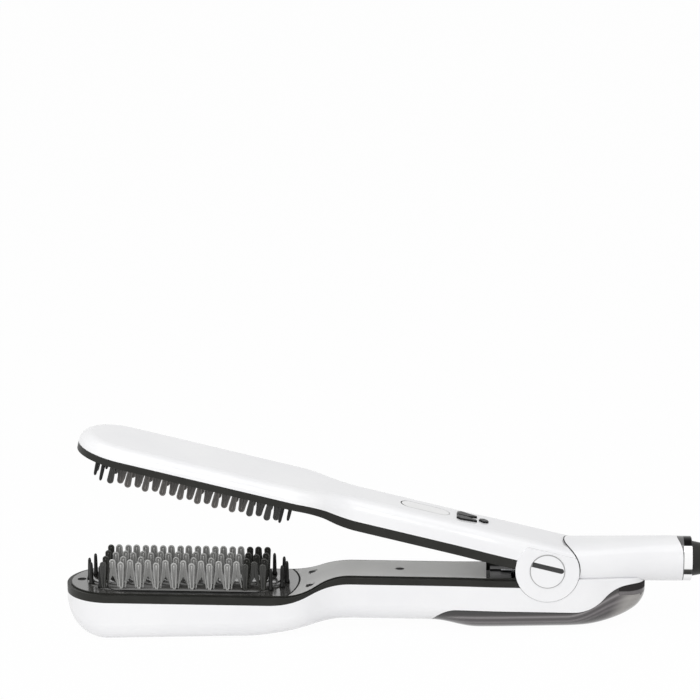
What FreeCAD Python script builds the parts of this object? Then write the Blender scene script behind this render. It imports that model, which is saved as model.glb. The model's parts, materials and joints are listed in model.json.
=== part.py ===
import FreeCAD
import Part
import Sketcher
import math
import os

# Steam hair straightener brush: two hinged arms with heated combs, a slide-off water tank under
# the lower arm, a round tail with a swivelling cord gland, and three push buttons on the upper arm.
#
# Both arms are drawn about the hinge axis, with X towards the tail, Y across and Z up, the plates
# level and the arms closed. Placements then open the upper arm, tip the whole part so that it lies
# on its paddle and its tank, and move the middle of its footprint to the origin.

DIMENSIONS = {
    # How the brush lies and opens, in degrees
    "opening_angle": 13.0,
    "rest_pitch": 2.0,
    # Clearances
    "moving_gap": 0.3,
    "seat_gap": 0.1,
    "shaft_play": 0.05,
    # Arm outline, seen from above
    "arm_reach": 244.5,
    "paddle_half": 24.0,
    "handle_half": 15.0,
    "hub_half": 16.0,
    "tail_half": 12.4,
    "paddle_end": 133.0,
    "handle_start": 100.0,
    "flare_start": 52.0,
    "flare_end": 20.0,
    "rear_reach": 49.5,
    "rear_corner_margin": 1.0,
    "shell_wall": 2.0,
    "edge_round": 9.0,
    "upper_edge_round": 6.2,
    # Lower arm, heights below the hinge axis
    "lower_seam_paddle": 18.0,
    "lower_seam_handle": 9.0,
    "lower_seam_start": 140.0,
    "lower_seam_stop": 99.0,
    "lower_plate_paddle": 13.4,
    "lower_plate_handle": 5.0,
    "lower_plate_start": 132.5,
    "lower_plate_stop": 99.0,
    "rest_depth": 31.2,
    "lower_handle_bottom": 29.1,
    "belly_start": 152.0,
    "belly_stop": 99.0,
    "chin_depth": 21.4,
    "chin_run": 23.0,
    "chin_facet_run": 7.0,
    "chin_facet_rise": 6.0,
    "nose_screw_inset": 7.3,
    "neck_screw_x": 119.3,
    "neck_screw_y": 10.9,
    "handle_screw_x": 74.3,
    # Upper arm, heights above the hinge axis
    "upper_seam_paddle": 6.2,
    "upper_seam_handle": 2.0,
    "upper_rim_paddle": 2.0,
    "upper_rim_handle": -3.5,
    "upper_seam_start": 127.0,
    "upper_seam_stop": 98.0,
    "upper_top_paddle": 12.9,
    "upper_top_handle": 12.8,
    "upper_top_start": 135.0,
    "upper_top_stop": 72.0,
    # Rims and plates
    "rim_width": 3.8,
    "rim_step_width": 1.9,
    "rim_step_depth": 0.6,
    "rim_bridge_half": 5.0,
    "rim_bridge_thickness": 1.7,
    "plate_thickness": 1.2,
    "plate_inset": 2.4,
    "comb_plate_bulge": 125.3,
    "comb_plate_arc": 52.0,
    "handle_plate_end": 30.6,
    "comb_insert_half": 15.6,
    "comb_insert_rim": 1.8,
    "comb_insert_proud": 0.8,
    "comb_insert_depth": 2.0,
    "comb_nose_inset": 10.5,
    "comb_insert_tail": 132.5,
    # Heating teeth and guard bristles
    "tooth_width": 3.0,
    "tooth_thickness": 1.1,
    "tooth_height": 13.6,
    "tooth_count": 10,
    "tooth_row_pitch": 5.4,
    "tooth_nose_margin": 10.0,
    "tooth_tail_margin": 10.5,
    "tooth_strip_height": 1.2,
    "bristle_radius": 0.85,
    "bristle_tip_radius": 0.55,
    "bristle_height": 10.7,
    "bristle_step": 30.0,
    # Heaters and steam parts
    "heater_half": 13.3,
    "heater_skirt": 16.5,
    "heater_thickness": 1.6,
    "heater_pad_depth": 0.4,
    "thermostat_run": 16.0,
    "thermostat_radius": 5.0,
    "terminal_width": 2.4,
    "terminal_length": 4.0,
    "terminal_offset": 4.0,
    "terminal_thickness": 0.6,
    "element_length": 52.0,
    "element_width": 14.0,
    "element_thickness": 3.0,
    "generator_length": 44.0,
    "generator_width": 25.0,
    "generator_height": 9.0,
    "generator_run": 3.6,
    "generator_top": 22.5,
    "generator_boss_radius": 2.5,
    "generator_boss_inset": 5.0,
    "generator_boss_y": 8.0,
    "inlet_depth": 27.0,
    "steam_duct_run": 4.4,
    "steam_duct_radius": 2.6,
    "steam_duct_bore": 1.3,
    "steam_hole_radius": 0.7,
    "pump_radius": 8.0,
    "pump_length": 15.0,
    "motor_radius": 6.5,
    "motor_length": 13.0,
    "pump_back": 84.0,
    "pump_depth": 17.0,
    "cradle_inset": 4.0,
    "cradle_length": 8.0,
    "cradle_half": 6.0,
    "spigot_length": 3.0,
    "hose_radius": 1.9,
    "hose_bore": 1.1,
    "suction_bend": 4.5,
    "suction_run": 7.5,
    "delivery_bend": 8.0,
    "delivery_start_run": 9.0,
    "delivery_end_run": 14.0,
    # Screws
    "boss_radius": 2.3,
    "boss_drop": 0.6,
    "screw_radius": 1.2,
    "screw_head_radius": 2.2,
    "screw_head_height": 1.0,
    "screw_length": 6.8,
    "screw_sink": 0.25,
    "bridge_screw_length": 1.5,
    # Hinge
    "hub_radius": 16.0,
    "hub_waist": 14.2,
    "cheek_outer": 16.5,
    "cheek_inner": 11.5,
    "cheek_web": 13.9,
    "shaft_radius": 4.0,
    "bush_radius": 5.5,
    "knuckle_radius": 8.0,
    "knuckle_half": 10.2,
    "spring_half": 4.8,
    "spring_wire": 0.6,
    "spring_mean_radius": 6.0,
    "spring_pitch": 1.75,
    "spring_low_leg": 23.0,
    "spring_high_leg": 13.0,
    "spring_leg_rise": 33.0,
    "cap_radius": 8.75,
    "cap_outer": 16.8,
    "cap_inner": 15.4,
    "cap_slot_width": 2.6,
    "cap_slot_end": 8.0,
    "cap_slot_depth": 0.8,
    "cap_slot_rise": 1.9,
    "hinge_screw_head": 5.4,
    "block_front": 28.6,
    "block_back": 18.0,
    "block_top": 6.0,
    "block_foot": 17.9,
    "block_notch": 4.5,
    "hinge_screw_reach": 6.5,
    # Tail and cord gland
    "tail_front": 4.0,
    "tail_end": 67.9,
    "tail_axis": 3.0,
    "tail_end_radius": 11.4,
    "tail_top": 12.0,
    "tail_squareness": 2.7,
    "tail_plug": 24.0,
    "tail_bottom": 8.2,
    "parting_depth": 4.2,
    "collar_length": 4.6,
    "collar_radius": 11.25,
    "collar_bevel": 0.4,
    "collar_sweep": 4.2,
    "collar_sweep_low": 4.5,
    "boot_neck_radius": 8.9,
    "boot_tip_radius": 5.0,
    "boot_length": 34.0,
    "boot_flange_radius": 9.8,
    "boot_flange": 2.0,
    "cord_bore": 3.3,
    "boot_shoulder": 4.5,
    "boot_shoulder_step": 0.9,
    "boot_rib_start": 9.0,
    "boot_rib_pitch": 3.6,
    "boot_groove_width": 1.5,
    "boot_rib_count": 6,
    "journal_radius": 6.0,
    "socket_length": 12.0,
    # Water tank
    "tank_tip": 58.0,
    "tank_shoulder": 46.0,
    "tank_top": 21.9,
    "tank_curve_start": 13.0,
    "tank_curve_rear": 4.5,
    "tank_heel_top": 7.4,
    "tank_heel_share": 0.26,
    "tank_wall": 1.6,
    "tank_lid_length": 13.5,
    "tank_lid_depth": 13.0,
    "filler_half": 7.0,
    "filler_margin": 1.6,
    "filler_rear": 5.9,
    "lid_runner_width": 1.2,
    "lid_runner_depth": 0.8,
    "lid_runner_margin": 0.9,
    "tank_flat_front": 34.0,
    "tank_flat_back": 8.0,
    "spigot_radius": 2.0,
    "spigot_depth": 24.8,
    "spigot_end": 62.5,
    "spigot_root": 50.0,
    "seal_radius": 3.4,
    "seal_boss_radius": 5.0,
    "seal_base": 1.6,
    "seal_sleeve": 3.6,
    "rail_half": 5.0,
    "rail_neck_half": 3.4,
    "rail_front": 40.0,
    "rail_back": 8.0,
    "rail_head": 0.8,
    "rail_neck": 0.9,
    # Controls
    "board_length": 62.0,
    "board_width": 21.0,
    "board_thickness": 1.6,
    "board_front": 94.0,
    "board_height": 4.0,
    "board_post_radius": 1.8,
    "board_post_inset": 3.0,
    "board_post_y": 8.6,
    "window_front": 79.0,
    "window_back": 53.5,
    "window_half": 5.2,
    "lens_thickness": 1.3,
    "button_proud": 0.9,
    "button_travel": 0.8,
    "button_gap": 0.25,
    "button_flange": 1.0,
    "button_front": 49.8,
    "button_waist": 39.5,
    "button_tip": 33.5,
    "button_half": 6.2,
    "button_tip_half": 2.6,
    "button_barb": 2.4,
    "switch_side": 4.2,
    "switch_y": 3.2,
    "switch_inset": 5.5,
    "rear_switch_inset": 4.0,
}


class Size:
    """A number kept together with the spreadsheet expression that gives it."""

    def __init__(self, value, text):
        self.value = float(value)
        self.text = text

    def __float__(self):
        return self.value

    def __add__(self, other):
        other = as_size(other)
        return Size(self.value + other.value, f"({self.text} + {other.text})")

    def __radd__(self, other):
        return as_size(other) + self

    def __sub__(self, other):
        other = as_size(other)
        return Size(self.value - other.value, f"({self.text} - {other.text})")

    def __rsub__(self, other):
        return as_size(other) - self

    def __mul__(self, other):
        other = as_size(other)
        return Size(self.value * other.value, f"({self.text} * {other.text})")

    def __rmul__(self, other):
        return as_size(other) * self

    def __truediv__(self, other):
        other = as_size(other)
        return Size(self.value / other.value, f"({self.text} / {other.text})")

    def __neg__(self):
        return Size(-self.value, f"(-1 * {self.text})")


def as_size(number):
    if isinstance(number, Size):
        return number
    return Size(number, f"({float(number)!r})")


class Sheet:
    """The spreadsheet of driving dimensions, read by name."""

    def __init__(self, doc, dimensions):
        self.cells = doc.addObject("Spreadsheet::Sheet", "Dimensions")
        for row, (name, value) in enumerate(dimensions.items(), start=1):
            self.cells.set(f"A{row}", name)
            self.cells.set(f"B{row}", str(value))
            self.cells.setAlias(f"B{row}", name)
        doc.recompute()

    def __getattr__(self, name):
        return Size(self.cells.get(name), f"Dimensions.{name}")


doc = FreeCAD.newDocument("steam_straightener_brush")
d = Sheet(doc, DIMENSIONS)
Vector = FreeCAD.Vector
SUB_PARTS = []


# --- Placements -------------------------------------------------------------------------------

def turn_about_hinge(angle):
    return FreeCAD.Placement(Vector(0, 0, 0), FreeCAD.Rotation(Vector(0, 1, 0), angle))


def rest_height(x):
    """Height of the table line under the point x, in the level arm frame."""
    return -float(d.rest_depth) + math.tan(math.radians(float(d.rest_pitch))) * x


def lying_placement():
    """Tips the level part onto the table and centres its footprint on the origin."""
    pitch = math.radians(float(d.rest_pitch))
    nose_x = -float(d.arm_reach)
    boot_x = float(d.tail_end + d.collar_length + d.boot_length)
    opened = math.radians(float(d.opening_angle)) + pitch
    nose_back = nose_x * math.cos(pitch) - float(d.lower_seam_paddle) * math.sin(pitch)
    upper_nose = nose_x * math.cos(opened)
    boot_front = boot_x * math.cos(pitch) + float(d.tail_axis + d.boot_tip_radius) * math.sin(pitch)
    shift_x = -(min(nose_back, upper_nose) + boot_front) / 2
    shift_z = float(d.rest_depth) * math.cos(pitch)
    move = FreeCAD.Placement(Vector(shift_x, 0, shift_z), FreeCAD.Rotation())
    return move.multiply(turn_about_hinge(float(d.rest_pitch)))


LOWER = lying_placement()
UPPER = LOWER.multiply(turn_about_hinge(float(d.opening_angle)))


# --- Sketch-based features --------------------------------------------------------------------

def origin_feature(body, role):
    return next(item for item in body.Origin.OriginFeatures if item.Role == role)


def new_body(label, placement, several_solids=False):
    body = doc.addObject("PartDesign::Body", label)
    body.Label = label
    body.Placement = placement
    body.AllowCompound = several_solids
    SUB_PARTS.append(body)
    return body


def new_sketch(body, plane, lift=0.0):
    sketch = body.newObject("Sketcher::SketchObject", f"{body.Label}_sketch")
    sketch.AttachmentSupport = (origin_feature(body, plane), "")
    sketch.MapMode = "FlatFace"
    lift = as_size(lift)
    sketch.AttachmentOffset = FreeCAD.Placement(Vector(0, 0, lift.value), FreeCAD.Rotation())
    sketch.setExpression("AttachmentOffset.Base.z", lift.text)
    return sketch


def pin_point(sketch, item, point, u, v):
    for kind, size in (("DistanceX", as_size(u)), ("DistanceY", as_size(v))):
        row = sketch.addConstraint(Sketcher.Constraint(kind, -1, 1, item, point, size.value))
        sketch.setExpression(f"Constraints[{row}]", size.text)


def polygon(body, plane, corners, lift=0.0):
    """A closed straight-sided profile whose corners are bound to the sheet."""
    sketch = new_sketch(body, plane, lift)
    places = [(float(u), float(v)) for u, v in corners]
    count = len(places)
    for index in range(count):
        start = places[index]
        end = places[(index + 1) % count]
        sketch.addGeometry(Part.LineSegment(Vector(*start, 0), Vector(*end, 0)), False)
    for index in range(count):
        sketch.addConstraint(Sketcher.Constraint("Coincident", index, 2, (index + 1) % count, 1))
    for index, (u, v) in enumerate(corners):
        pin_point(sketch, index, 1, u, v)
    return sketch


def rectangle(body, plane, low, high, lift=0.0):
    corners = [(low[0], low[1]), (high[0], low[1]), (high[0], high[1]), (low[0], high[1])]
    return polygon(body, plane, corners, lift)


def circles(body, plane, rounds, lift=0.0):
    """One sketch of circles, each given as centre u, centre v and radius."""
    sketch = new_sketch(body, plane, lift)
    for u, v, radius in rounds:
        radius = as_size(radius)
        item = sketch.addGeometry(
            Part.Circle(Vector(float(u), float(v), 0), Vector(0, 0, 1), radius.value), False
        )
        pin_point(sketch, item, 3, u, v)
        row = sketch.addConstraint(Sketcher.Constraint("Radius", item, radius.value))
        sketch.setExpression(f"Constraints[{row}]", radius.text)
    return sketch


def extrude(body, kind, sketch, length, side="One side", reverse=False):
    feature = body.newObject(kind, f"{body.Label}_{kind.split('::')[1].lower()}")
    feature.Profile = sketch
    feature.SideType = side
    feature.Reversed = reverse
    feature.setExpression("Length", as_size(length).text)
    sketch.Visibility = False
    return feature


def pad(body, sketch, length, side="One side", reverse=False):
    return extrude(body, "PartDesign::Pad", sketch, length, side, reverse)


def pocket(body, sketch, length, side="One side", reverse=False):
    return extrude(body, "PartDesign::Pocket", sketch, length, side, reverse)


def revolve(body, sketch, axis="H_Axis", kind="Revolution"):
    feature = body.newObject(f"PartDesign::{kind}", f"{body.Label}_{kind.lower()}")
    feature.Profile = sketch
    feature.ReferenceAxis = (sketch, [axis])
    feature.Angle = 360
    return feature


def repeat(body, feature, axis, step, count):
    pattern = body.newObject("PartDesign::LinearPattern", f"{body.Label}_row")
    pattern.Originals = [feature]
    pattern.Direction = (origin_feature(body, axis), [""])
    pattern.Mode = "Spacing"
    pattern.setExpression("Offset", as_size(step).text)
    pattern.setExpression("Occurrences", as_size(count).text)
    body.Tip = pattern
    return pattern


def mirror(body, features, plane):
    pattern = body.newObject("PartDesign::Mirrored", f"{body.Label}_mirror")
    pattern.Originals = features
    pattern.MirrorPlane = (origin_feature(body, plane), [""])
    body.Tip = pattern
    return pattern


def dress(body, kind, size, wanted):
    """Rounds or bevels the edges of the body that the test picks."""
    doc.recompute()
    tip = body.Tip
    names = [
        f"Edge{number}"
        for number, edge in enumerate(tip.Shape.Edges, start=1)
        if wanted(edge)
    ]
    feature = body.newObject(f"PartDesign::{kind}", f"{body.Label}_{kind.lower()}")
    feature.Base = (tip, names)
    feature.setExpression("Radius" if kind == "Fillet" else "Size", as_size(size).text)
    return feature


def runs_along(axis, tolerance=1e-6):
    """A test for straight edges parallel to X, Y or Z."""
    def test(edge):
        if not isinstance(edge.Curve, Part.Line):
            return False
        return abs(abs(getattr(edge.Curve.Direction, axis)) - 1) < tolerance
    return test


# --- Free-form pieces -------------------------------------------------------------------------

def free_form(label, shape, placement):
    feature = doc.addObject("Part::Feature", label)
    feature.Label = label
    feature.Shape = shape
    feature.Placement = placement.multiply(shape.Placement)
    SUB_PARTS.append(feature)
    return feature


class Outline:
    """A closed chain of lines, arcs and S-curves drawn in the XY or the XZ plane."""

    def __init__(self, plane, start):
        self.plane = plane
        self.here = start
        self.first = start
        self.edges = []

    def point(self, place):
        if self.plane == "XY":
            return Vector(place[0], place[1], 0)
        return Vector(place[0], 0, place[1])

    def line(self, *place):
        self.edges.append(Part.makeLine(self.point(self.here), self.point(place)))
        self.here = place
        return self

    def arc(self, through, place):
        curve = Part.Arc(self.point(self.here), self.point(through), self.point(place))
        self.edges.append(curve.toShape())
        self.here = place
        return self

    def run(self, *place):
        """A line where the level stays the same, otherwise an S-curve."""
        if abs(place[1] - self.here[1]) < 1e-6:
            return self.line(*place)
        return self.ess(*place)

    def ess(self, *place):
        """Two equal tangent arcs that leave and arrive parallel to X."""
        run = place[0] - self.here[0]
        rise = place[1] - self.here[1]
        way = math.copysign(1, run)
        radius = (run * run + rise * rise) / (4 * abs(rise))
        half_turn = math.atan2(abs(rise), abs(run))
        along = radius * math.sin(half_turn) * way
        aside = math.copysign(radius * (1 - math.cos(half_turn)), rise)
        start = self.here
        middle = (start[0] + run / 2, start[1] + rise / 2)
        self.arc((start[0] + along, start[1] + aside), middle)
        return self.arc((place[0] - along, place[1] - aside), place)

    def spline(self, places, start_direction, end_direction):
        curve = Part.BSplineCurve()
        curve.interpolate(
            Points=[self.point(place) for place in [self.here, *places]],
            InitialTangent=self.point(start_direction),
            FinalTangent=self.point(end_direction),
        )
        self.edges.append(curve.toShape())
        self.here = places[-1]
        return self

    def face(self):
        if self.point(self.here).distanceToPoint(self.point(self.first)) > 1e-6:
            self.line(*self.first)
        return Part.Face(Part.Wire(self.edges))

    def prism(self, low, high):
        """The outline as a solid between two levels across its plane."""
        face = self.face()
        if self.plane == "XY":
            face.translate(Vector(0, 0, low))
            return face.extrude(Vector(0, 0, high - low))
        face.translate(Vector(0, low, 0))
        return face.extrude(Vector(0, high - low, 0))


FAR = 60.0
OVER = 1.0


def box(low, high):
    size = [top - bottom for bottom, top in zip(low, high)]
    return Part.makeBox(*size, Vector(*low))


def cross_cylinder(radius, half_length, x=0.0, z=0.0):
    return Part.makeCylinder(radius, 2 * half_length, Vector(x, -half_length, z), Vector(0, 1, 0))


def long_cylinder(radius, start, end, z, y=0.0):
    return Part.makeCylinder(radius, end - start, Vector(start, y, z), Vector(1, 0, 0))


def post(radius, x, y, bottom, top):
    return Part.makeCylinder(radius, top - bottom, Vector(x, y, bottom))


def arm_plan(inset, low, high):
    """The arm seen from above, as a prism: round nose, paddle, neck, handle and flared hub."""
    paddle = float(d.paddle_half) - inset
    handle = float(d.handle_half) - inset
    hub = float(d.hub_half) - inset
    tail = float(d.tail_half) - inset
    nose = -float(d.arm_reach) + float(d.paddle_half)
    rear = float(d.rear_reach) - inset
    sides = [
        (-float(d.paddle_end), paddle),
        (-float(d.handle_start), handle),
        (-float(d.flare_start), handle),
        (-float(d.flare_end), hub),
        (float(d.hub_radius), hub),
        (rear - float(d.edge_round + d.rear_corner_margin) + inset, tail),
    ]
    plan = Outline("XY", (nose, paddle))
    for x, y in sides:
        plan.run(x, y)
    corner = float(d.edge_round + d.rear_corner_margin) - inset
    plan.arc((rear - 0.293 * corner, tail - 0.293 * corner), (rear, tail - corner))
    plan.line(rear, corner - tail)
    plan.arc((rear - 0.293 * corner, 0.293 * corner - tail), (rear - corner, -tail))
    for x, y in reversed(sides[:-1]):
        plan.run(x, -y)
    plan.line(nose, -paddle)
    plan.arc((nose - paddle, 0), (nose, paddle))
    return plan.prism(low, high)


def rounded(shape, radius, wanted):
    edges = [edge for edge in shape.Edges if wanted(edge)]
    return shape.makeFillet(radius, edges)


def edge_middle(edge):
    low, high = edge.ParameterRange
    return edge.valueAt((low + high) / 2)


# --- Lower housing, water tank and tail -------------------------------------------------------

def down_slope():
    return math.tan(math.radians(float(d.rest_pitch)))


def lower_form(inset, top_lift=0.0):
    """Paddle, neck, handle and tank as one smooth solid, closed by the seam and the parting plane."""
    slope = down_slope()
    nose = -float(d.arm_reach) - OVER
    seam_low = -float(d.lower_seam_paddle) + top_lift
    seam_high = -float(d.lower_seam_handle) + top_lift
    parting = -float(d.parting_depth) + top_lift
    rear = float(d.rear_reach) + OVER
    handle_bottom = -float(d.lower_handle_bottom) + inset
    back = float(d.tank_flat_back)
    front = -float(d.tank_flat_front)
    belly = -float(d.belly_start)
    chin = -float(d.arm_reach) + float(d.chin_run)
    heel = (rear - inset, inset - float(d.rear_reach * d.tank_heel_share))
    side = Outline("XZ", (nose, seam_low))
    side.line(-float(d.lower_seam_start), seam_low)
    side.ess(-float(d.lower_seam_stop), seam_high)
    side.line(0, seam_high)
    side.line(0, parting)
    side.line(rear, parting)
    side.line(*heel)
    side.spline([(back, rest_height(back) + inset)], (-0.42, -1), (-1, -slope))
    side.line(front, rest_height(front) + inset)
    side.spline([(-float(d.tank_tip) - OVER, handle_bottom)], (-1, -slope), (-1, 0))
    side.line(-float(d.belly_stop), handle_bottom)
    side.spline([(belly, rest_height(belly) + inset)], (-1, 0), (-1, -slope))
    side.line(chin, rest_height(chin) + inset)
    facet = -float(d.arm_reach) + float(d.chin_facet_run)
    facet_end = (facet, rest_height(facet) + float(d.chin_facet_rise) + inset)
    side.spline([facet_end, (nose, -float(d.chin_depth) + inset)], (-1, -slope), (-0.5, 1))
    body = arm_plan(inset, -FAR, FAR).common(side.prism(-FAR, FAR))

    def under_edge(edge):
        if isinstance(edge.Curve, Part.Line) and abs(edge.Curve.Direction.x) < 0.5:
            return False
        middle = edge_middle(edge)
        top = seam_high if middle.x > -float(d.lower_seam_stop) else seam_low
        return middle.z < top - 3

    return rounded(body, float(d.edge_round) - inset, under_edge)


def tank_region(grow):
    """Everything below the sliding seat of the tank; a positive growth widens it upwards."""
    tip = -float(d.tank_tip) - grow
    shoulder = -float(d.tank_shoulder)
    top = -float(d.tank_top) + grow
    bottom = -float(d.lower_handle_bottom)
    side = Outline("XZ", (tip, bottom))
    bow = (tip + 0.36 * (shoulder - tip), bottom + 0.64 * (top - bottom))
    side.arc(bow, (shoulder, top))
    side.line(float(d.tank_curve_start), top)
    side.ess(float(d.rear_reach - d.tank_curve_rear), -float(d.tank_heel_top) + grow)
    side.line(FAR, -float(d.tank_heel_top) + grow)
    side.line(FAR, -FAR)
    side.line(tip, -FAR)
    return side.prism(-FAR, FAR)


def hub_drum(grow):
    """The round body about the hinge that the tail's front edge follows, waisted in the middle."""
    radius = float(d.hub_radius) + grow
    half = float(d.hub_half)
    side = Outline("XY", (0, -FAR)).line(radius, -FAR).line(radius, -half)
    side.arc((float(d.hub_waist) + grow, 0), (radius, half)).line(radius, FAR).line(0, FAR)
    return side.face().revolve(Vector(0, 0, 0), Vector(0, 1, 0), 360)


def collar_tongue(shift=0.0):
    """The region at the top of the tail's end where the collar sweeps forward over it."""
    end = float(d.tail_end)
    low = float(d.tail_axis + d.collar_sweep_low)
    high = float(d.tail_axis + d.tail_end_radius) + OVER
    reach = float(d.collar_sweep)
    bow = (end - shift - reach * 0.25, low + (high - low) * 0.6)
    side = Outline("XZ", (end - shift, low))
    side.arc(bow, (end - shift - reach, high))
    side.line(end + OVER, high).line(end + OVER, low)
    return side.prism(-FAR, FAR)


def tail_section(x, half, bottom, top, power):
    """A rounded section across the tail: a circle at power 2, squarer above it."""
    count = 24
    middle = (top + bottom) / 2
    rise = (top - bottom) / 2
    points = []
    for step in range(count):
        turn = 2 * math.pi * step / count
        across = math.cos(turn)
        upward = math.sin(turn)
        y = half * math.copysign(abs(across) ** (2 / power), across)
        z = middle + rise * math.copysign(abs(upward) ** (2 / power), upward)
        points.append(Vector(x, y, z))
    curve = Part.BSplineCurve()
    curve.interpolate(Points=points, PeriodicFlag=True)
    return Part.Wire(curve.toShape())


def tail_form(grow, front=None, end=None):
    """The tail tube, blending from the hinge housing into a round end."""
    front = float(d.tail_front) if front is None else front
    end = float(d.tail_end) if end is None else end
    start_x = float(d.tail_front)
    stop_x = float(d.tail_end)
    radius = float(d.tail_end_radius)
    axis = float(d.tail_axis)
    sections = []
    for share in (0, 0.25, 0.5, 0.75, 1):
        x = front + share * (end - front)
        blend = (x - start_x) / (stop_x - start_x)
        ease = blend * blend * (3 - 2 * blend)
        half = float(d.hub_half) * (1 - ease) + radius * ease
        bottom = -float(d.tail_bottom) * (1 - ease) + (axis - radius) * ease
        top = float(d.tail_top) * (1 - ease) + (axis + radius) * ease
        power = float(d.tail_squareness) * (1 - ease) + 2 * ease
        sections.append(tail_section(x, half + grow, bottom - grow, top + grow, power))
    return Part.makeLoft(sections, True, False)


def comb_nose():
    return d.arm_reach - d.comb_nose_inset


def comb_length():
    return comb_nose() - d.comb_insert_tail


def first_tooth():
    return comb_nose() - d.tooth_nose_margin


def tooth_pitch():
    """The teeth share out the comb's length between their end margins."""
    return (comb_length() - d.tooth_nose_margin - d.tooth_tail_margin) / (d.tooth_count - 1)


def element_front():
    """The heater, with the duct and thermostat behind it, lies in the middle of the comb."""
    group = d.element_length + d.thermostat_run + d.thermostat_radius
    return comb_nose() - (comb_length() - group) / 2


def element_rear():
    return element_front() - d.element_length


def steam_duct_place():
    return element_rear() - d.steam_duct_run


def generator_back():
    return steam_duct_place() - d.generator_run


def boss_places():
    """Screw bosses of the lower arm: nose, two in the neck and one in the handle."""
    neck_x = -float(d.neck_screw_x)
    neck_y = float(d.neck_screw_y)
    return [
        (-float(d.arm_reach - d.nose_screw_inset), 0.0),
        (neck_x, -neck_y),
        (neck_x, neck_y),
        (-float(d.handle_screw_x), 0.0),
    ]


def under_plate():
    """Depth of a screw boss below the face of the plate it carries."""
    return float(d.plate_thickness + d.boss_drop)


def ess_height(x, start, low, stop, high):
    """Height at x of an S-curve of two equal tangent arcs."""
    run = stop - start
    rise = high - low
    if x <= start:
        return low
    if x >= stop:
        return high
    radius = (run * run + rise * rise) / (4 * rise)
    if x < (start + stop) / 2:
        return low + radius - math.sqrt(radius * radius - (x - start) ** 2)
    return high - radius + math.sqrt(radius * radius - (stop - x) ** 2)


def plate_height(arm, x):
    """Height of the plate face at x, in the neck too."""
    if arm == "lower":
        start, stop = -float(d.lower_plate_start), -float(d.lower_plate_stop)
        low, high = -float(d.lower_plate_paddle), -float(d.lower_plate_handle)
        return ess_height(x, start, low, stop, high)
    start, stop = -float(d.upper_seam_start), -float(d.upper_seam_stop)
    fall = float(d.upper_rim_paddle - d.upper_rim_handle)
    return float(d.upper_rim_paddle) - ess_height(x, start, 0.0, stop, fall)


def band(arm, upper_drop, lower_drop, low_y=-FAR, high_y=FAR):
    """The layer of an arm between two depths behind its plate face, following the neck."""
    if arm == "lower":
        start, stop = -float(d.lower_plate_start), -float(d.lower_plate_stop)
        paddle, handle = -float(d.lower_plate_paddle), -float(d.lower_plate_handle)
        way = -1
    else:
        start, stop = -float(d.upper_seam_start), -float(d.upper_seam_stop)
        paddle, handle = float(d.upper_rim_paddle), float(d.upper_rim_handle)
        way = 1
    side = Outline("XZ", (-FAR * 5, paddle + way * upper_drop))
    side.line(start, paddle + way * upper_drop)
    side.ess(stop, handle + way * upper_drop)
    side.line(FAR, handle + way * upper_drop)
    side.line(FAR, handle + way * lower_drop)
    side.line(stop, handle + way * lower_drop)
    side.ess(start, paddle + way * lower_drop)
    side.line(-FAR * 5, paddle + way * lower_drop)
    return side.prism(low_y, high_y)


def lower_shell():
    wall = float(d.shell_wall)
    hub = float(d.hub_radius + d.moving_gap)
    gap = float(d.moving_gap)
    shell = lower_form(0)
    tail_cut = tail_form(float(d.seat_gap))
    cavity = lower_form(wall, OVER).common(box((-FAR * 5, -FAR, -FAR), (0, FAR, FAR)))
    cavity = cavity.cut(cross_cylinder(hub + wall, FAR))
    cavity = cavity.cut(tank_region(gap + wall))
    shell = shell.cut(cavity)
    posts = [
        post(float(d.boss_radius), x, y, -FAR, plate_height("lower", x) - under_plate())
        for x, y in boss_places()[:3]
    ]
    boss_inset = float(d.generator_boss_inset)
    generator_front = generator_rear() - float(d.generator_length)
    for x in (generator_rear() - boss_inset, generator_front + boss_inset):
        for side in (-1, 1):
            top = -float(d.generator_top + d.generator_height)
            y = side * float(d.generator_boss_y)
            posts.append(post(float(d.generator_boss_radius), x, y, -FAR, top))
    depth = -float(d.pump_depth)
    pump_front = -float(d.pump_back + d.pump_length + d.motor_length)
    cradle_front = pump_front + float(d.cradle_inset)
    cradle_back = cradle_front + float(d.cradle_length)
    cradle_half = float(d.cradle_half)
    posts.append(box((cradle_front, -cradle_half, -FAR), (cradle_back, cradle_half, depth - 4)))
    seal_end = -float(d.spigot_end) - float(d.moving_gap + d.seal_base)
    spigot_root = -float(d.spigot_root)
    spigot_z = -float(d.spigot_depth)
    seal_boss = long_cylinder(float(d.seal_boss_radius), seal_end, spigot_root, spigot_z)
    inside = lower_form(wall / 2)
    for solid in [*posts, seal_boss]:
        shell = shell.fuse(solid.common(inside))
    pump_clear = float(d.pump_radius + d.seat_gap)
    shell = shell.cut(long_cylinder(pump_clear, pump_front - OVER, -float(d.pump_back), depth))
    shell = shell.cut(tank_region(gap))
    shell = shell.cut(tail_cut)
    shell = shell.cut(cross_cylinder(hub, FAR))
    seal_bore = long_cylinder(float(d.seal_radius), seal_end - FAR / 10, spigot_root, spigot_z)
    shell = shell.cut(seal_bore)
    seat = float(d.seat_gap)
    half = float(d.knuckle_half) + seat
    block_floor = -float(d.block_foot) - seat
    shell = shell.cut(box((-float(d.block_front) - seat, -half, block_floor), (0, half, 0)))
    shell = shell.cut(rail_shape(gap, float(d.tank_curve_start) + 12))
    for x, y in boss_places()[:3]:
        bottom = plate_height("lower", x) - float(d.screw_length) - 2 * OVER
        shell = shell.cut(post(float(d.screw_radius) + seat, x, y, bottom, 0))
    return shell


def generator_rear():
    return -float(generator_back())


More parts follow.
